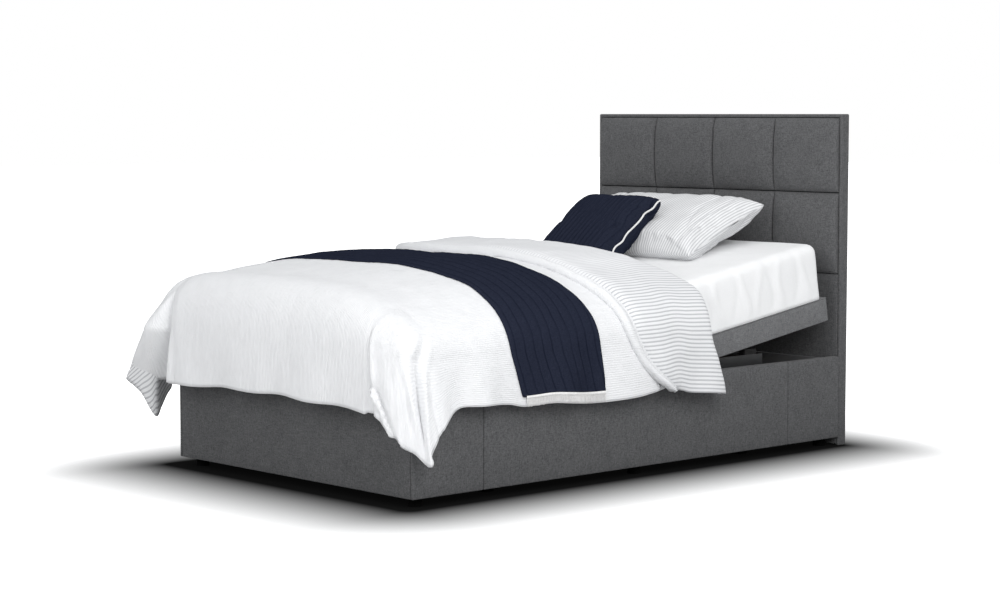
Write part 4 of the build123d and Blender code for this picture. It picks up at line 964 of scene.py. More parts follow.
def makeFold():
    columns = foldBack["columns"]
    lengths, shares = zip(*evenShares())

    def shareAt(u):
        length = lerp(lengths[0], lengths[-1], u)
        index = min(max(bisect.bisect_left(lengths, length), 1), len(lengths) - 1)
        k = (length - lengths[index - 1]) / (lengths[index] - lengths[index - 1])
        return lerp(shares[index - 1], shares[index], k)

    rows = len(foldProfile(0)) - 1
    profiles = {}

    def where(u, v):
        share = shareAt(u)
        key = round(share, 6)
        if key not in profiles:
            profiles[key] = foldProfile(share)
        along, inward = profiles[key][round(v * rows)]
        x, z = foldSection(along, share)
        nx, nz = foldNormal(along, share)
        body = ease(inward, 0.03, 0.0)
        wrinkle = 0.006 * soft(x * 0.8, along, z, 0.15, 5.2) + 0.0032 * soft(x, along * 0.6, z, 0.055, 1.9)
        wrinkle *= body
        wrinkle += 0.004 * soft(share * 3, along, 0, 0.10, 6.1) * (1 - body)
        move = wrinkle - inward
        sway = 0.010 * soft(share * 1.3, 0, along, 0.25, 8.3) * ease(v, 0.7, 1)
        return Vector((x + nx * move, along + sway + footFace, z + nz * move))

    def flat(u, v):
        along = foldProfile(shareAt(u))[round(v * rows)][0]
        return lerp(lengths[0], lengths[-1], u), along

    shape = mappedGrid(columns, rows, where, flat)[0]
    piece = finishMesh(shape, "foldWhole", ("duvetStriped", "duvetWhite"))
    # The roll at the fold's edge is plain cloth.
    for polygon in piece.data.polygons:
        if polygon.index // columns < foldBack["rollRows"]:
            polygon.material_index = 1
    whole = walled(piece, foldBack["wall"], 0)
    # Cut between the thigh and back hinges; each part is listed with one of the two hinges' bend zones.
    cut = footFace + foldBack["cut"]
    parts = cutPart(whole, "duvetFoldFoot", cut, 1), cutPart(whole, "duvetFold", cut, -1)
    bpy.data.objects.remove(whole)
    return parts


def cutPart(whole, name, place, sign):
    shape = bmesh.new()
    shape.from_mesh(whole.data)
    cutPlane(shape, (0, place, 0), (0, sign, 0), clear_outer=True)
    rim = rimOf(shape)
    for edge in rim:
        edge.smooth = False    # the cut face must not shade the cloth beside it
    bmesh.ops.holes_fill(shape, edges=rim, sides=0)
    return finishMesh(shape, name, ("duvetStriped", "duvetWhite"))


def flipIfInward(piece, middle):
    # Turns the surface round if it faces its own middle.
    total = 0.0
    for polygon in piece.data.polygons:
        total += polygon.area * polygon.normal.dot(Vector(polygon.center) - middle)
    if total < 0:
        piece.data.flip_normals()
    return piece


foldFootPiece, foldPiece = makeFold()
print("fold made")


throw = {
    # the edges: share of the way from the middle to the hem, place along the bed
    "footRight": ((0, 0.350), (0.30, 0.352), (0.45, 0.366), (0.60, 0.362), (0.77, 0.356), (0.90, 0.388),
                  (1, 0.418)),
    "footLeft": ((0, 0.350), (0.4, 0.335), (0.7, 0.312), (1, 0.305)),
    "headRight": ((0, 0.702), (0.25, 0.706), (0.40, 0.716), (0.60, 0.731), (0.75, 0.742), (0.90, 0.764),
                  (1, 0.770)),
    "headLeft": ((0, 0.702), (0.4, 0.695), (0.8, 0.700), (1, 0.715)),
    "lift": 0.0065, "thickness": 0.004, "rib": 0.0385, "ribDepth": 0.0016,
    "grooveWidth": 0.16, "columns": 200, "rows": 80, "probe": 0.006, "end": 0.030,
    # the fringe: length and its unevenness, where it starts from the hem and from the edges, how it hangs
    "fringe": 0.033, "uneven": 0.08, "fringeStart": 0.034, "hemGap": 0.002, "inset": 0.003, "strands": 132,
    "strandRows": 5, "strandWall": 0.0016, "sway": 0.0020, "splay": 0.0016, "out": 0.0012, "root": 0.25,
}


def throwEdges(acrossCloth):
    side = "Right" if acrossCloth >= 0 else "Left"
    share = min(abs(acrossCloth) / (clothRight if acrossCloth >= 0 else -clothLeft), 1)
    return throughPoints(throw["foot" + side], share)[0], throughPoints(throw["head" + side], share)[0]


def overDuvet(acrossCloth, along, lift):
    # A place at a height over the duvet's surface.
    cloth = along - duvet["firstStation"]
    probe = throw["probe"]
    left, right = max(acrossCloth - probe, clothLeft), min(acrossCloth + probe, clothRight)
    dx = sheetPoint(right, cloth) - sheetPoint(left, cloth)
    dy = sheetPoint(acrossCloth, cloth + probe) - sheetPoint(acrossCloth, cloth - probe)
    return sheetPoint(acrossCloth, cloth) + dx.cross(dy).normalized() * lift


def makeThrow():
    ends = clothLeft + throw["end"], clothRight - throw["end"]

    def flat(u, v):
        across = lerp(ends[0], ends[1], u)
        start, end = throwEdges(across)
        return across, lerp(0, end - start, v)

    def where(u, v):
        across, down = flat(u, v)
        start, end = throwEdges(across)
        groove = abs((down / throw["rib"]) % 1 - 0.5) * 2
        depth = throw["ribDepth"] * dent(groove, 0, throw["grooveWidth"])
        swell = 0.0012 * soft(across, down, 0, 0.07, 3.3)
        edge = ease(min(v, 1 - v), 0, 0.03)
        return overDuvet(across, lerp(start, end, v), throw["lift"] * lerp(0.75, 1, edge) + swell - depth)

    shape = mappedGrid(throw["columns"], throw["rows"], where, flat)[0]
    runner = walled(finishMesh(shape, "throwRunner", ("runnerNavy",)), throw["thickness"])

    whole = bmesh.new()
    for side in (-1, 1):
        edge = clothRight if side > 0 else clothLeft
        columns = throw["strands"] * 2

        def strand(u, v, side=side, edge=edge):
            index = int(u * columns / 2)
            uneven = throw["uneven"] * noise.noise(Vector((index * 0.37, side, 0.3)))
            down = throw["fringe"] * (1 + uneven) * v
            start, end = throwEdges(edge)
            spot = overDuvet(edge - side * max(throw["fringeStart"] - down, throw["hemGap"]),
                             lerp(start + throw["inset"], end - throw["inset"], u), throw["lift"] + 0.001)
            # Beyond the duvet's hem the strand hangs free.
            spot.z -= max(down - (throw["fringeStart"] - throw["hemGap"]), 0)
            sway = throw["sway"] * noise.noise(Vector((index * 0.61, 4.0 * side, 1.0))) * v
            splay = throw["splay"] * noise.noise(Vector((index * 0.83, 7.0, side))) * v
            return spot + Vector((side * (throw["out"] * v + splay), sway, 0))

        shape, shares = mappedGrid(columns, throw["strandRows"], strand)
        # Every second column is cut out below the strands' common root.
        loose = [face for face in shape.faces
                 if (min(shares[p][0] for p in face.verts) * columns + 0.5) % 2 >= 1
                 and max(shares[p][1] for p in face.verts) > throw["root"]]
        bmesh.ops.delete(shape, geom=loose, context="FACES")
        if side < 0:
            bmesh.ops.reverse_faces(shape, faces=shape.faces[:])
        mergeInto(whole, shape)
    fringe = walled(finishMesh(whole, "throwFringe", ("fringeYarn",)), throw["strandWall"])
    return runner, fringe


runnerPiece, fringePiece = makeThrow()
print("throw and fringe made")


mattress = {
    "half": 0.5917, "low": 0.0308, "high": 0.2258, "foot": -1.175, "head": 0.800,
    "edge": 0.040, "roundEdge": 0.066, "footSplit": duvet["lowerCut"] - 1.14,
    "middleSplit": duvet["upperCut"][1] - 1.14, "rings": (0.07, 0.10, 0.13, 0.16), "acrossPitch": 0.06,
    "underGap": 0.016, "underFrom": 0.44,
}


def bentBack(shape):
    # Lays a shape made flat, measured from the back hinge, along the raised back section.
    for point in shape.verts:
        point.co = onBack(point.co.x, point.co.y, point.co.z)


def mattressShape(start, end, edge, grow=0.0, pitch=0.03, under=0.0):
    # A length of the mattress, flat, measured from the back hinge.
    half = mattress["half"] + grow
    shape = boxShape((-half, mattress["foot"] - grow, mattress["low"] - under),
                     (half, mattress["head"] + grow, mattress["high"] + grow), edge, 6)
    if start > mattress["foot"]:
        cutPlane(shape, (0, start, 0), (0, -1, 0), clear_outer=True)
    if end < mattress["head"]:
        cutPlane(shape, (0, end, 0), (0, 1, 0), clear_outer=True)
    bmesh.ops.holes_fill(shape, edges=rimOf(shape), sides=0)
    sliced(shape, 1, steps(max(start, mattress["foot"] + edge), min(end, mattress["head"] - edge), pitch))
    sliced(shape, 0, steps(-half + edge, half - edge, mattress["acrossPitch"]))
    return shape


def underDuvet(shape):
    # Rounds the foot section's top edges more, so that they stay under the duvet.
    for point in shape.verts:
        along = point.co.y + backHinge.y - footFace
        crown, halfWidth = throughPoints(duvet["stations"], along)[:2]
        limit = crownHeight(point.co.x, crown, halfWidth) - mattress["underGap"] - hingeZ
        if abs(point.co.x) > mattress["underFrom"] and point.co.z > limit:
            point.co.z = limit


def makeMattress():
    spans = (("mattressCalf", mattress["foot"], mattress["footSplit"]),
             ("mattressThigh", mattress["footSplit"], mattress["middleSplit"]),
             ("mattressBack", mattress["middleSplit"], mattress["head"]))
    made = {}
    for name, start, end in spans:
        shape = mattressShape(start, end, mattress["edge" if name == "mattressBack" else "roundEdge"])
        sliced(shape, 2, mattress["rings"])
        if name == "mattressCalf":
            underDuvet(shape)
        bentBack(shape)
        made[name] = finishMesh(shape, name, ("mattressTicking",))
    return made


fitted = {
    "start": 0.03, "over": 0.006, "grow": 0.0045, "edge": 0.032, "pitch": 0.012, "acrossPitch": 0.018,
    "ring": 0.045, "ringStep": 0.012, "rings": 12, "under": 0.04, "hemLift": 0.0005, "acrossHalf": 0.55,
    "wall": 0.0022, "foldShare": 0.95, "foldSway": 0.018, "lift": 0.0012,
    # soft upright wrinkles in the side: place along the back section, width, depth
    "folds": ((0.15, 0.012, 0.005), (0.215, 0.010, -0.004), (0.262, 0.014, 0.006), (0.345, 0.010, -0.004),
              (0.392, 0.013, 0.006), (0.470, 0.011, 0.004), (0.532, 0.013, -0.005), (0.590, 0.012, 0.006),
              (0.668, 0.012, -0.004), (0.715, 0.012, 0.005)),
}


def makeFittedSheet():
    shape = mattressShape(fitted["start"], mattress["head"] + fitted["over"], fitted["edge"], fitted["grow"],
                          fitted["pitch"], fitted["under"])
    cutPlane(shape, (0, 0, mattress["low"] + fitted["hemLift"]), (0, 0, -1), clear_outer=True)
    # The end under the duvet is open.
    ending = [face for face in shape.faces if face.calc_center_median().y < fitted["start"] + 0.001]
    bmesh.ops.delete(shape, geom=ending, context="FACES")
    sliced(shape, 2, [fitted["ring"] + fitted["ringStep"] * k for k in range(fitted["rings"])])
    sliced(shape, 0, steps(-fitted["acrossHalf"], fitted["acrossHalf"], fitted["acrossPitch"]))
    shape.normal_update()
    moves = {}
    for point in shape.verts:
        x, y, z = point.co
        share = (z - mattress["low"]) / (mattress["high"] - mattress["low"])
        sidePart = ease(abs(x), 0.50, 0.59)
        fold = sum(depth * dent(y + fitted["foldSway"] * math.sin(z * 22 + middle * 40), middle, width)
                   for middle, width, depth in fitted["folds"])
        fold *= fitted["foldShare"] * sidePart * ease(share, 0.02, 0.25) * (1 - 0.75 * ease(share, 0.7, 1.0))
        fold += 0.003 * soft(x * 0.6, y, z, 0.10, 3.9) * sidePart
        top = 0.0016 * soft(x, y, 0, 0.16, 7.1) + 0.0014 * soft(x * 0.5, y * 1.6, 0, 0.05, 2.4)
        moves[point] = point.normal * (fold + top * (1 - sidePart) + fitted["lift"])
    for point, move in moves.items():
        point.co += move
    bentBack(shape)
    faceOut(shape)
    piece = finishMesh(shape, "fittedSheet", ("sheetWhite",))
    flipIfInward(piece, Vector((0, 0.55, 0.55)))
    return walled(piece, fitted["wall"])


mattressPieces = makeMattress()
sheetPiece = makeFittedSheet()
print("mattress and fitted sheet made")


def restPlace(size):
    # Where a cushion lies on the back section, with its own turn about its middle.
    turn = Matrix.Rotation(backRaise + math.radians(size["tilt"]), 4, "X")
    return Matrix.Translation(onBack(size["across"], size["along"], size["above"])) @ turn


def lensShape(width, length, thickness, columns, rows, corner, draw, power):
    # Two crowned faces that meet in a seam, drawn in between the corners.
    def half(sign):
        def where(u, v):
            a, b = 2 * u - 1, 2 * v - 1
            a, b = math.sin(a * math.pi / 2), math.sin(b * math.pi / 2)
            x = a * width / 2 * (1 - draw * (1 - b * b))
            y = b * length / 2 * (1 - draw * (1 - a * a))
            crown = (max(1 - abs(a) ** power, 0) * max(1 - abs(b) ** power, 0)) ** corner
            return Vector((x, y, sign * thickness / 2 * crown))
        return where
    shape, under = mappedGrid(columns, rows, half(1))[0], mappedGrid(columns, rows, half(-1))[0]
    bmesh.ops.reverse_faces(under, faces=under.faces[:])
    mergeInto(shape, under)
    bmesh.ops.remove_doubles(shape, verts=shape.verts[:], dist=1e-5)
    faceOut(shape)
    return shape


clothRun = {
    "frames": 20,
    "settings": {
        "quality": 5, "mass": 0.25, "use_pressure": True, "uniform_pressure_force": 4.0,
        "tension_stiffness": 14, "compression_stiffness": 14, "bending_stiffness": 0.4},
}


def puffed(piece, voxel, cap):
    # The padded-cloth recipe: remesh, a short cloth run under pressure, capped, then one subdivision.
    remesh = piece.modifiers.new("remesh", "REMESH")
    remesh.mode = "VOXEL"
    remesh.voxel_size = voxel
    applied(piece)
    before = [point.co.copy() for point in piece.data.vertices]
    cloth = piece.modifiers.new("cloth", "CLOTH")
    for key, value in clothRun["settings"].items():
        setattr(cloth.settings, key, value)
    cloth.settings.effector_weights.gravity = 0
    cloth.point_cache.frame_start = 1
    cloth.point_cache.frame_end = clothRun["frames"]
    scene = bpy.context.scene
    for count in range(1, clothRun["frames"] + 1):
        scene.frame_set(count)
    applied(piece)
    scene.frame_set(1)
    for point, start in zip(piece.data.vertices, before):
        move = point.co - start
        if move.length > cap:
            point.co = start + move * (cap / move.length)
    smooth = piece.modifiers.new("smooth", "SUBSURF")
    smooth.levels = smooth.render_levels = 1
    applied(piece)
    for polygon in piece.data.polygons:
        polygon.use_smooth = True
    return piece


pillowSize = {
    "width": 0.790, "length": 0.460, "thickness": 0.118, "across": -0.016, "along": 0.598, "above": 0.3075,
    "tilt": 14, "voxel": 0.0062, "cap": 0.020, "grid": (60, 40), "corner": 0.42, "draw": 0.045, "power": 2.6,
    # wrinkles at the ends: place across, slant, width, depth
    "wrinkles": ((0.255, 0.20, 0.010, -0.007), (0.300, 0.05, 0.009, -0.006), (0.335, -0.12, 0.008, -0.005),
                 (-0.300, 0.10, 0.010, -0.006), (-0.250, -0.15, 0.012, -0.006)),
}
cushionSize = {
    "width": 0.374, "length": 0.410, "thickness": 0.120, "across": -0.056, "along": 0.348, "above": 0.3254,
    "tilt": 29, "voxel": 0.0052, "cap": 0.014, "grid": (44, 44), "corner": 0.30, "draw": 0.035, "power": 3.4,
    "pleat": 0.0216, "pleatDepth": 0.0042, "pleatWidth": 0.30, "pleatWander": 0.0018, "bumps": 0.0025,
    # the piping: radius, grid, where it ends, its rise over the seam, its waves in and up
    "pipe": 0.0032, "pipeGrid": (12, 120), "pipeEnd": 0.008, "pipeRise": 0.016, "pipeWaves": (0.0022, 0.0028),
    "pushed": 0.78,
}


lieLevel = 0.2295 + 0.0005    # the sheet's top over the hinge, with a small gap


def filled(name, look, size):
    # A cushion's or pillow's puffed body, flat and round its own middle.
    shape = lensShape(size["width"], size["length"], size["thickness"], *size["grid"], size["corner"],
                      size["draw"], size["power"])
    return puffed(finishMesh(shape, name, (look,)), size["voxel"], size["cap"])


def laid(piece, size):
    piece.data.transform(restPlace(size))


def makePillow():
    p = pillowSize
    piece = filled("pillow", "pillowStriped", p)
    for point in piece.data.vertices:
        x, y, z = point.co
        move = 0.0
        for middle, slant, width, depth in p["wrinkles"]:
            wave = 0.012 * math.sin(y * 18 + middle * 30)
            move += depth * dent(x + slant * y + wave, middle, width) * ease(abs(y), 0.24, 0.10)
        edge = min(1, (0.5 * p["width"] - abs(x)) / 0.10, (0.5 * p["length"] - abs(y)) / 0.10)
        move += 0.004 * soft(x, y, z, 0.07, 2.0) + 0.0035 * soft(x, y, z, 0.03, 5.0) * (1 - max(edge, 0))
        point.co.z += move * (1 if z > 0 else -1)
    # Where each point lies across the cloth, so that the stripes keep their pitch down the steep ends.
    line = piece.data.attributes.new("stripePlace", "FLOAT", "POINT")
    fullest = max(point.co.z for point in piece.data.vertices)
    for point in piece.data.vertices:
        x, y, z = point.co
        crest = fullest * max(1 - (2 * y / p["length"]) ** 2, 0) ** 0.5
        drop = 0.9 * max(crest - abs(z), 0) * ease(abs(x), 0.10, 0.28)
        line.data[point.index].value = x + math.copysign(drop, x)
    laid(piece, p)
    settle(piece)
    return piece


def settle(piece):
    # Flattens the underside where the piece lies on the mattress.
    flatDown = Matrix.Rotation(-backRaise, 3, "X")
    back = Matrix.Rotation(backRaise, 3, "X")
    for point in piece.data.vertices:
        local = flatDown @ (point.co - backHinge)
        if local.z < lieLevel:
            local.z = lieLevel
            point.co = backHinge + back @ local


def makeCushion():
    c = cushionSize
    piece = filled("scatterCushion", "cushionNavy", c)
    for point in piece.data.vertices:
        x, y, z = point.co
        wander = c["pleatWander"] * math.sin(y * 26 + x * 9)
        groove = abs(((x + wander) / c["pleat"]) % 1 - 0.5) * 2
        crown = ease(abs(z), 0.004, 0.02)
        upward = 1 if z > 0 else -1
        point.co.z -= c["pleatDepth"] * dent(groove, 0, c["pleatWidth"]) * crown * upward
        point.co.z += c["bumps"] * soft(x, y, z, 0.06, 3.0) * upward
    laid(piece, c)
    settle(piece)

    # The piping follows the right seam in small waves.
    half = c["length"] / 2 - c["pipeEnd"]

    def tube(u, v):
        a = u * 2 * math.pi
        y = lerp(-half, half, v)
        share = y / (c["length"] / 2)
        inWave, upWave = c["pipeWaves"]
        middle = c["width"] / 2 * (1 - c["draw"] * (1 - share * share)) - 0.001 + inWave * math.sin(y * 95)
        lift = c["pipeRise"] * (1 - share ** 4) + upWave * math.sin(y * 70 + 1.0)
        close = 1 if 0 < v < 1 else 0.25
        return Vector((middle + c["pipe"] * close * math.cos(a), y, lift + c["pipe"] * close * math.sin(a)))

    shape = mappedGrid(*c["pipeGrid"], tube)[0]
    bmesh.ops.remove_doubles(shape, verts=shape.verts[:], dist=1e-5)
    bmesh.ops.holes_fill(shape, edges=rimOf(shape), sides=0)
    faceOut(shape)
    piping = finishMesh(shape, "cushionPiping", ("pipingWhite",))
    laid(piping, c)
    return piece, piping


pillowPiece = makePillow()
cushionPiece, pipingPiece = makeCushion()
print("pillow and cushion made")


surround = {
    "half": 0.610, "low": 0.030, "high": 0.322, "foot": -0.9785, "head": 1.0315,
    "seams": (0.289, 1.730), "cover": 0.0298, "seamGap": 0.0016, "thick": 0.0115, "faceDrop": 0.0004,
    "edge": 0.004, "lip": 0.0096, "lipInset": 0.006, "lipEdge": 0.0035, "footInset": 0.0122,
}


def padPanel(low, high, edge, axis, sign, pitch=0.03):
    # An upholstered panel: rounded edges and a slightly uneven face.
    shape = boxShape(low, high, edge, 3)
    low, high = Vector(low), Vector(high)
    for other in range(3):
        if high[other] - low[other] > 2.2 * pitch:
            sliced(shape, other, steps(low[other] + edge, high[other] - edge, pitch))
    middle, half = (low + high) / 2, (high - low) / 2
    across = [n for n in range(3) if n != axis]
    for point in shape.verts:
        outer = (point.co[axis] - middle[axis]) * sign
        if outer > 0:
            share = 1.0
            for n in across:
                share *= max(1 - abs((point.co[n] - middle[n]) / half[n]) ** 4, 0)
            wobble = 0.0010 * soft(point.co.x, point.co.y, point.co.z, 0.09, 1.1)
            point.co[axis] += sign * (wobble * share ** 0.3)
    return shape


def addPad(whole, a, b, *settings):
    # Adds a panel between two opposite corners, in any order.
    corners = list(zip(a, b))
    mergeInto(whole, padPanel([min(pair) for pair in corners], [max(pair) for pair in corners], *settings))


def makeSideCover(side):
    s = surround
    whole = bmesh.new()
    ends = [s["foot"]] + [footFace + seam for seam in s["seams"]] + [s["head"]]
    for start, end in zip(ends, ends[1:]):
        a = start + (s["seamGap"] / 2 if start > s["foot"] else 0)
        b = end - (s["seamGap"] / 2 if end < s["head"] else 0)
        outer, high = side * s["half"], s["high"]
        addPad(whole, (side * (s["half"] - s["thick"]), a, s["low"]), (outer, b, high - s["faceDrop"]),
               s["edge"], 0, side)
        addPad(whole, (side * (s["half"] - s["cover"]), a, high - s["lip"]),
               (outer - side * s["lipInset"], b, high), s["lipEdge"], 2, 1)
    return finishMesh(whole, "sideCover" + ("Right" if side > 0 else "Left"), ("upholsteryGrey",))


def makeFootCover():
    s = surround
    half, front, high = s["half"] - s["footInset"], s["foot"], s["high"]
    whole = bmesh.new()
    addPad(whole, (-half, front, s["low"]), (half, front + s["thick"], high - s["faceDrop"]),
           s["edge"], 1, -1)
    addPad(whole, (-half, front + s["lipInset"], high - s["lip"]), (half, front + s["cover"], high),
           s["lipEdge"], 2, 1)
    return finishMesh(whole, "footCover", ("upholsteryGrey",))


platform = {
    "half": 0.600, "low": -0.0545, "high": 0.0305, "skirt": 0.0180, "skirtDrop": 0.0032, "skirtEdge": 0.005,
    "topThick": 0.0029, "topInset": 0.001, "topEdge": 0.0012, "topPitch": 0.05, "capGap": 0.0005,
    # below a height, the skirts' ends beside the knee lean away from it: place, reach, height, slope
    "knee": footFace + 0.540, "kneeReach": 0.0195, "leanFrom": -0.034, "lean": 0.42,
}


def makeSkirt(name, start, end, footClosed=False, headClosed=False, raised=False):
    # A platform section's cloth: skirts down both sides, round any open end, and the top over the board.
    p = platform
    half, low, high = p["half"], p["low"], p["high"]
    under = high - p["skirtDrop"]
    whole = bmesh.new()
    addPad(whole, (-half + p["topInset"], start, high - p["topThick"]), (half - p["topInset"], end, high),
           p["topEdge"], 2, 1, p["topPitch"])
    for side in (-1, 1):
        addPad(whole, (side * (half - p["skirt"]), start, low), (side * half, end, under),
               p["skirtEdge"], 0, side)
    capHalf = half - p["skirt"] - p["capGap"]
    for closed, at, sign in ((footClosed, start, -1), (headClosed, end, 1)):
        if closed:
            addPad(whole, (-capHalf, at - sign * p["skirt"], low), (capHalf, at, under),
                   p["skirtEdge"], 1, sign)
    for point in whole.verts:
        below, beside = max(p["leanFrom"] - point.co.z, 0), point.co.y - p["knee"]
        if abs(beside) < p["kneeReach"]:
            point.co.y += math.copysign(p["lean"] * below, beside)
        if raised:
            point.co = backHinge + Matrix.Rotation(backRaise, 3, "X") @ Vector(point.co)
        else:
            point.co = Vector((point.co.x, point.co.y, point.co.z + hingeZ))
    return finishMesh(whole, name, ("skirtGrey",))


coverPieces = {
    "sideCoverRight": makeSideCover(1), "sideCoverLeft": makeSideCover(-1), "footCover": makeFootCover(),
    "calfCover": makeSkirt("calfCover", footFace - 0.010, footFace + 0.526, footClosed=True),
    "thighCover": makeSkirt("thighCover", footFace + 0.554, footFace + 0.846),
    "seatCover": makeSkirt("seatCover", footFace + 0.874, footFace + 1.120),
    "backCover": makeSkirt("backCover", 0.020, 0.821, headClosed=True, raised=True),
}
print("surround and platform covers made")


board = {
    "half": 0.5975, "front": 1.0015, "back": 1.0415, "rowLines": (0.6175, 0.909, 1.1775), "columns": 4,
    "edgeDepth": 0.007, "gap": 0.0028, "trimFront": 1.0315, "trimBack": 1.0735, "top": 1.190, "outer": 0.610,
    "inner": 0.5984, "trimTop": 0.012, "trimRound": 0.0046, "padGrid": (40, 38),
    # the pads' crown: how the grid draws to the edges, the powers along and up, and how full the middle is
    "draw": (1.9, 1.5), "crown": (4, 0.20, 3, 0.45), "full": (0.14, 0.10),
    "lower": ((-0.598, 1.0315, 0.004), (0.598, 1.0412, 0.6168)), "lowerEdge": 0.004,
    "cloth": {"half": 0.5965, "low": 0.0055, "high": 1.1765, "at": 1.0732, "fade": 0.03, "wall": 0.0014},
}


def makePads(name, low, high):
    b = board
    whole = bmesh.new()
    wide = 2 * b["half"] / b["columns"]
    for column in range(b["columns"]):
        left = -b["half"] + column * wide + b["gap"] / 2
        right = left + wide - b["gap"]
        bottom, top = low + b["gap"] / 2, high - b["gap"] / 2

        def face(u, v):
            a, c = 2 * u - 1, 2 * v - 1
            a = math.copysign(1 - (1 - abs(a)) ** b["draw"][0], a)
            c = math.copysign(1 - (1 - abs(c)) ** b["draw"][1], c)
            along, alongPower, up, upPower = b["crown"]
            crown = (max(1 - abs(a) ** along, 0) ** alongPower) * (max(1 - abs(c) ** up, 0) ** upPower)
            full = (1 - b["full"][0] * a * a) * (1 - b["full"][1] * c * c)
            pinch = 0.0022 * soft(a * 0.15, c * 0.15, column, 0.06, 2.0) * (1 - crown) * 4
            depth = lerp(b["edgeDepth"], b["back"] - b["front"] - 0.001, crown * full)
            x = lerp(left, right, (a + 1) / 2)
            z = lerp(bottom, top, (c + 1) / 2)
            depth += 0.0012 * soft(x, 0, z, 0.08, 4.4) * crown - abs(pinch)
            return Vector((x, b["back"] - depth, z))

        shape = mappedGrid(*b["padGrid"], face)[0]
        grown = bmesh.ops.extrude_edge_only(shape, edges=rimOf(shape))
        for point in pointsOf(grown):
            point.co.y = b["back"] - 0.0002
        bmesh.ops.holes_fill(shape, edges=rimOf(shape), sides=0)
        faceOut(shape)
        mergeInto(whole, shape)
    return finishMesh(whole, name, ("upholsteryGrey",))


def makeTrim():
    # The narrow border round the top and sides, with a rounded front edge.
    b = board
    acrosses = (-b["outer"], -b["inner"], b["inner"], b["outer"])
    heights = (0.0, b["top"] - b["trimTop"], b["top"])

    def where(u, v):
        return Vector((acrosses[round(u * 3)], b["trimBack"], heights[round(v * 2)]))

    shape = mappedGrid(3, 2, where)[0]
    middles = [(face, face.calc_center_median()) for face in shape.faces]
    inside = [face for face, middle in middles if abs(middle.x) < b["inner"] / 2 and middle.z < 1]
    bmesh.ops.delete(shape, geom=inside, context="FACES")
    grown = bmesh.ops.extrude_face_region(shape, geom=shape.faces[:])
    bmesh.ops.translate(shape, vec=(0, b["trimFront"] - b["trimBack"], 0), verts=pointsOf(grown))
    faceOut(shape)
    sharp = [e for e in shape.edges if len(e.link_faces) == 2 and e.calc_face_angle() > 0.5]
    rounded(shape, sharp, b["trimRound"], 3)
    return finishMesh(shape, "headboardTrim", ("upholsteryGrey",))


def makeLowerCover():
    shape = padPanel(*board["lower"], board["lowerEdge"], 1, -1)
    return finishMesh(shape, "headboardLowerCover", ("upholsteryGrey",))


def makeBackCloth():
    c = board["cloth"]
    width, height = 2 * c["half"], c["high"] - c["low"]

    def where(u, v):
        x, z = lerp(-c["half"], c["half"], u), lerp(c["low"], c["high"], v)
        inset = min(c["half"] - abs(x), z - c["low"], c["high"] - z)
        edge = min(1, inset / c["fade"])
        return Vector((x, c["at"] - 0.0006 * soft(x, 0, z, 0.12, 3) * max(edge, 0), z))

    shape = mappedGrid(80, 80, where, lambda u, v: (u * width, v * height))[0]
    faceOut(shape)
    piece = finishMesh(shape, "headboardBackCloth", ("backingClothAndGapShade",))
    if piece.data.polygons[0].normal.y < 0:
        piece.data.flip_normals()
    return walled(piece, c["wall"])


headPieces = {
    "headboardPadsUpper": makePads("headboardPadsUpper", *board["rowLines"][1:]),
    "headboardPadsLower": makePads("headboardPadsLower", *board["rowLines"][:2]),
    "headboardTrim": makeTrim(), "headboardLowerCover": makeLowerCover(),
    "headboardBackCloth": makeBackCloth(),
}
print("headboard made")


# where each hinge's bend starts and ends along the bed
kneeZone, thighZone, backZone = (
    tuple((0, footFace + along, hingeZ) for along in span)
    for span in ((0.400, 0.680), (0.765, 0.955), (0.960, 1.310)))

bends = {
    # piece, first body, second body, zone
    "duvetFoot": (duvetPieces["duvetFoot"], "calf_section", "thigh_section", kneeZone),
    "duvetMiddle": (duvetPieces["duvetMiddle"], "thigh_section", "base", thighZone),
    "duvetHead": (duvetPieces["duvetHead"], "base", "back_section", backZone),
    "duvetFoldFoot": (foldFootPiece, "thigh_section", "base", thighZone),
    "duvetFold": (foldPiece, "base", "back_section", backZone),
    "throwRunner": (runnerPiece, "calf_section", "thigh_section", kneeZone),
    "throwFringe": (fringePiece, "calf_section", "thigh_section", kneeZone),
    "mattressCalf": (mattressPieces["mattressCalf"], "calf_section", "thigh_section", kneeZone),
    "mattressThigh": (mattressPieces["mattressThigh"], "thigh_section", "base", thighZone),
    "mattressBack": (mattressPieces["mattressBack"], "base", "back_section", backZone),
    "fittedSheet": (sheetPiece, "base", "back_section", backZone),
}
coverBodies = {
    "sideCoverRight": "base", "sideCoverLeft": "base", "footCover": "base", "seatCover": "base",
    "calfCover": "calf_section", "thighCover": "thigh_section", "backCover": "back_section",
}
rides = {
    "pillow": (pillowPiece, "back_section"), "scatterCushion": (cushionPiece, "back_section"),
    "cushionPiping": (pipingPiece, "back_section"),
    **{name: (coverPieces[name], body) for name, body in coverBodies.items()},
    **{name: (piece, "base") for name, piece in headPieces.items()},
}
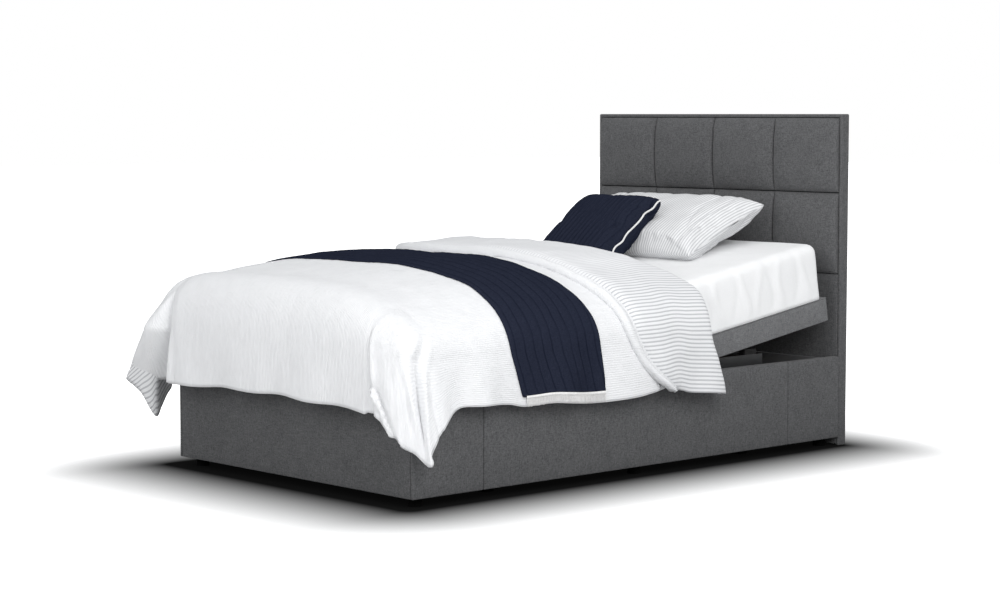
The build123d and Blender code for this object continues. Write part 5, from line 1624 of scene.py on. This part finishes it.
stands = {
    # material slot: its pieces, each with the CAD nodes that it stands for
    "duvet_white": {
        "duvetFoot": ["duvet_lower"], "duvetMiddle": ["duvet_upper"], "duvetHead": ["duvet_upper"],
        "duvetFold": ["duvet_upper"], "duvetFoldFoot": ["duvet_upper"]},
    "runner_navy": {"throwRunner": ["throw_runner"]},
    "fringe_white": {"throwFringe": ["runner_fringe"]},
    "mattress_foam": {
        "mattressCalf": ["mattress_calf"], "mattressThigh": ["mattress_thigh"],
        "mattressBack": ["mattress_lap", "mattress_back"]},
    "sheet_white": {"fittedSheet": ["fitted_sheet"]},
    "pillow_stripe": {"pillow": ["pillow"]},
    "cushion_navy": {"scatterCushion": ["scatter_cushion"]},
    "piping_white": {"cushionPiping": ["cushion_piping"]},
    "upholstery_grey": {
        "sideCoverRight": ["side_cover_right"], "sideCoverLeft": ["side_cover_left"],
        "footCover": ["foot_cover"], "seatCover": ["seat_cover"], "calfCover": ["calf_cover"],
        "thighCover": ["thigh_cover"], "backCover": ["back_cover"],
        "headboardPadsUpper": ["headboard_pads_upper"], "headboardPadsLower": ["headboard_pads_lower"],
        "headboardTrim": ["headboard_edge_trim"], "headboardLowerCover": ["headboard_lower_cover"]},
    "backing_cloth": {"headboardBackCloth": ["headboard_back_cloth"]},
}

for piece, first, second, (start, end) in bends.values():
    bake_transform(piece)
    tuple(start)
    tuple(end)
for piece, body in rides.values():
    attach(piece, body)
# The cushion's rest place, and meshes of their own for the cushion and its piping.
cushionTop = restPlace(cushionSize)
for piece in (cushionPiece, pipingPiece):
    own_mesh(piece)

for slotName, standing in stands.items():
    for name, nodes in standing.items():
        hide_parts(*nodes)

nodeLooks = {
    "boardPainted": ("side_board_left", "side_board_right", "foot_board", "head_rail_board", "corner_blocks"),
    "boardWood": ("headboard_battens", "seat_board", "back_board", "thigh_board", "calf_board"),
    "frameSteel": (
        "chassis_rails", "chassis_cross_members", "chassis_legs", "chassis_brackets", "actuator_brackets",
        "seat_frame", "back_frame", "thigh_frame", "calf_frame", "back_lever", "thigh_lever"),
    "platedSteel": (
        "headboard_bolts", "frame_hinge_pins", "knee_hinge_pins", "back_actuator_rod", "leg_actuator_rod"),
    "drivePlastic": (
        "back_motor", "back_actuator_tube", "leg_motor", "leg_actuator_tube", "control_box", "power_supply"),
    "footPlasticPaintedShade": ("surround_feet", "chassis_leg_caps"),
    # the board behind the pads takes the near-black backing cloth, so the gaps between the pads read dark:
    # painted shade in the gaps
    "restRubber": ("frame_rest_blocks",), "backingClothAndGapShade": ("headboard_panel",),
}
for look, names in nodeLooks.items():
    for name in names:
        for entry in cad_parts[name].material_slots:
            entry.material = looks[look]
print("pieces joined to their bodies")


studio = {
    "floorHalf": 40, "shadeDark": 0.004, "fillTint": (0.97, 0.985, 1, 1),
    # the paper, dark where painted shade lies close round the bed and bright away from it, as the camera sees
    # it and as it lights the bed
    "seenPaper": ((0.004, 0.004, 0.004), (0.9, 0.9, 0.9)),
    "litPaper": ((0.12, 0.12, 0.12), (0.80, 0.80, 0.80)),
    "camera": (5.81849, -5.40276, 1.18854), "turn": (85.372, 0, 47.452), "lens": 82.53,
    "worldFill": 0.52,
    # name: place, aim, size, power
    "lamps": {
        "key": ((4.4, -1.7, 2.8), (0, 0, 0.45), 2.6, 121),
        "front": ((1.2, -5.2, 2.4), (0, 0, 0.5), 2.6, 80),
        "top": ((0.3, 0.2, 4.0), (0, 0.6, 0.7), 3.0, 22),
    },
    # the floor's painted shade to the right, left, foot and head: axis, sign, where it starts, how far it
    # reaches
    "shade": ((0, 1, 0.59, 0.49), (0, -1, 0.64, 0.37), (1, -1, 0.97, 0.56), (1, 1, 1.04, 0.32)),
    # over which shares of that reach it fades, and over which the paper starts to glow, from what strength
    "fade": (0.05, 1.1), "fadePower": 1.15, "glow": (1.0, 2.6, 0.55),
}


def seenDirectly(tree):
    # 1 for the camera's rays and for those that metal and glass send on.
    path = node(tree, "ShaderNodeLightPath")
    bent = calc(tree, "MAXIMUM", path.outputs["Is Glossy Ray"], path.outputs["Is Transmission Ray"])
    return calc(tree, "MAXIMUM", path.outputs["Is Camera Ray"], bent)


def mixShaders(tree, factor, low, high):
    choose = node(tree, "ShaderNodeMixShader")
    for source, socket in zip((factor, low, high), choose.inputs):
        join(tree, source, socket)
    return choose.outputs[0]


def makeFloorMaterial():
    # White to the camera and in reflections, darkened close round the bed by painted shade, with the bed's
    # real shadow on it as well.
    made = bpy.data.materials.new("floorPaper")
    made.use_nodes = True
    tree = made.node_tree
    tree.nodes.clear()
    output = node(tree, "ShaderNodeOutputMaterial")
    spot = node(tree, "ShaderNodeSeparateXYZ")
    join(tree, place(tree, "Object"), spot.inputs[0])
    # Distance from the bed's outline on the floor, in shares of the painted shade's reach.
    squares = 0.0
    for axis, sign, edge, reach in studio["shade"]:
        beyond = calc(tree, "SUBTRACT", calc(tree, "MULTIPLY", spot.outputs[axis], float(sign)), edge)
        share = calc(tree, "DIVIDE", calc(tree, "MAXIMUM", beyond, 0.0), reach)
        squares = calc(tree, "ADD", calc(tree, "MULTIPLY", share, share), squares)
    away = calc(tree, "POWER", calc(tree, "SQRT", squares), studio["fadePower"])
    start, end = studio["fade"]
    fade = node(tree, "ShaderNodeMapRange", in_1=start, in_2=end, in_3=studio["shadeDark"], in_4=1.0)
    join(tree, away, fade.inputs[0])
    bright = fade.outputs[0]
    # Far from the bed the paper glows by itself up to pure white.
    start, end, strength = studio["glow"]
    far = node(tree, "ShaderNodeMapRange", in_1=start, in_2=end, in_3=strength, in_4=1.0)
    join(tree, away, far.inputs[0])
    paper = node(tree, "ShaderNodeBsdfDiffuse")
    join(tree, colourMix(tree, bright, *studio["seenPaper"]), paper.inputs["Color"])
    glow = node(tree, "ShaderNodeEmission")
    join(tree, calc(tree, "MULTIPLY", bright, far.outputs[0]), glow.inputs["Strength"])
    both = node(tree, "ShaderNodeAddShader")
    join(tree, paper.outputs[0], both.inputs[0])
    join(tree, glow.outputs[0], both.inputs[1])
    plain = node(tree, "ShaderNodeBsdfDiffuse")
    join(tree, colourMix(tree, bright, *studio["litPaper"]), plain.inputs["Color"])
    shown = mixShaders(tree, seenDirectly(tree), plain.outputs[0], both.outputs[0])
    join(tree, shown, output.inputs["Surface"])
    return made


def makeStudio():
    scene = bpy.context.scene
    shape = bmesh.new()
    bmesh.ops.create_grid(shape, x_segments=2, y_segments=2, size=studio["floorHalf"])
    looks["floorPaper"] = makeFloorMaterial()
    floor = finishMesh(shape, "studioFloor", ("floorPaper",))

    world = bpy.data.worlds.new("studioWorld")
    scene.world = world
    world.use_nodes = True
    tree = world.node_tree
    tree.nodes.clear()
    output = node(tree, "ShaderNodeOutputWorld")
    white = node(tree, "ShaderNodeBackground", in_Strength=1.0)
    white.inputs["Color"].default_value = (1, 1, 1, 1)
    fill = node(tree, "ShaderNodeBackground", in_Strength=studio["worldFill"])
    fill.inputs["Color"].default_value = studio["fillTint"]
    shown = mixShaders(tree, seenDirectly(tree), fill.outputs[0], white.outputs[0])
    join(tree, shown, output.inputs["Surface"])

    for name, (spot, aim, size, power) in studio["lamps"].items():
        lamp = bpy.data.lights.new(name, "AREA")
        lamp.shape = "SQUARE"
        lamp.size = size
        lamp.energy = power
        holder = bpy.data.objects.new(name, lamp)
        scene.collection.objects.link(holder)
        holder.location = spot
        holder.rotation_euler = (Vector(aim) - Vector(spot)).to_track_quat("-Z", "Y").to_euler()

    lens = bpy.data.cameras.new("studioCamera")
    lens.lens = studio["lens"]
    lens.sensor_width = 36
    lens.sensor_fit = "HORIZONTAL"
    lens.clip_end = 200
    camera = bpy.data.objects.new("studioCamera", lens)
    scene.collection.objects.link(camera)
    camera.location = studio["camera"]
    camera.rotation_euler = [math.radians(angle) for angle in studio["turn"]]
    scene.camera = camera
    scene.view_settings.view_transform = "Standard"


makeStudio()
print("floor, light and camera set")
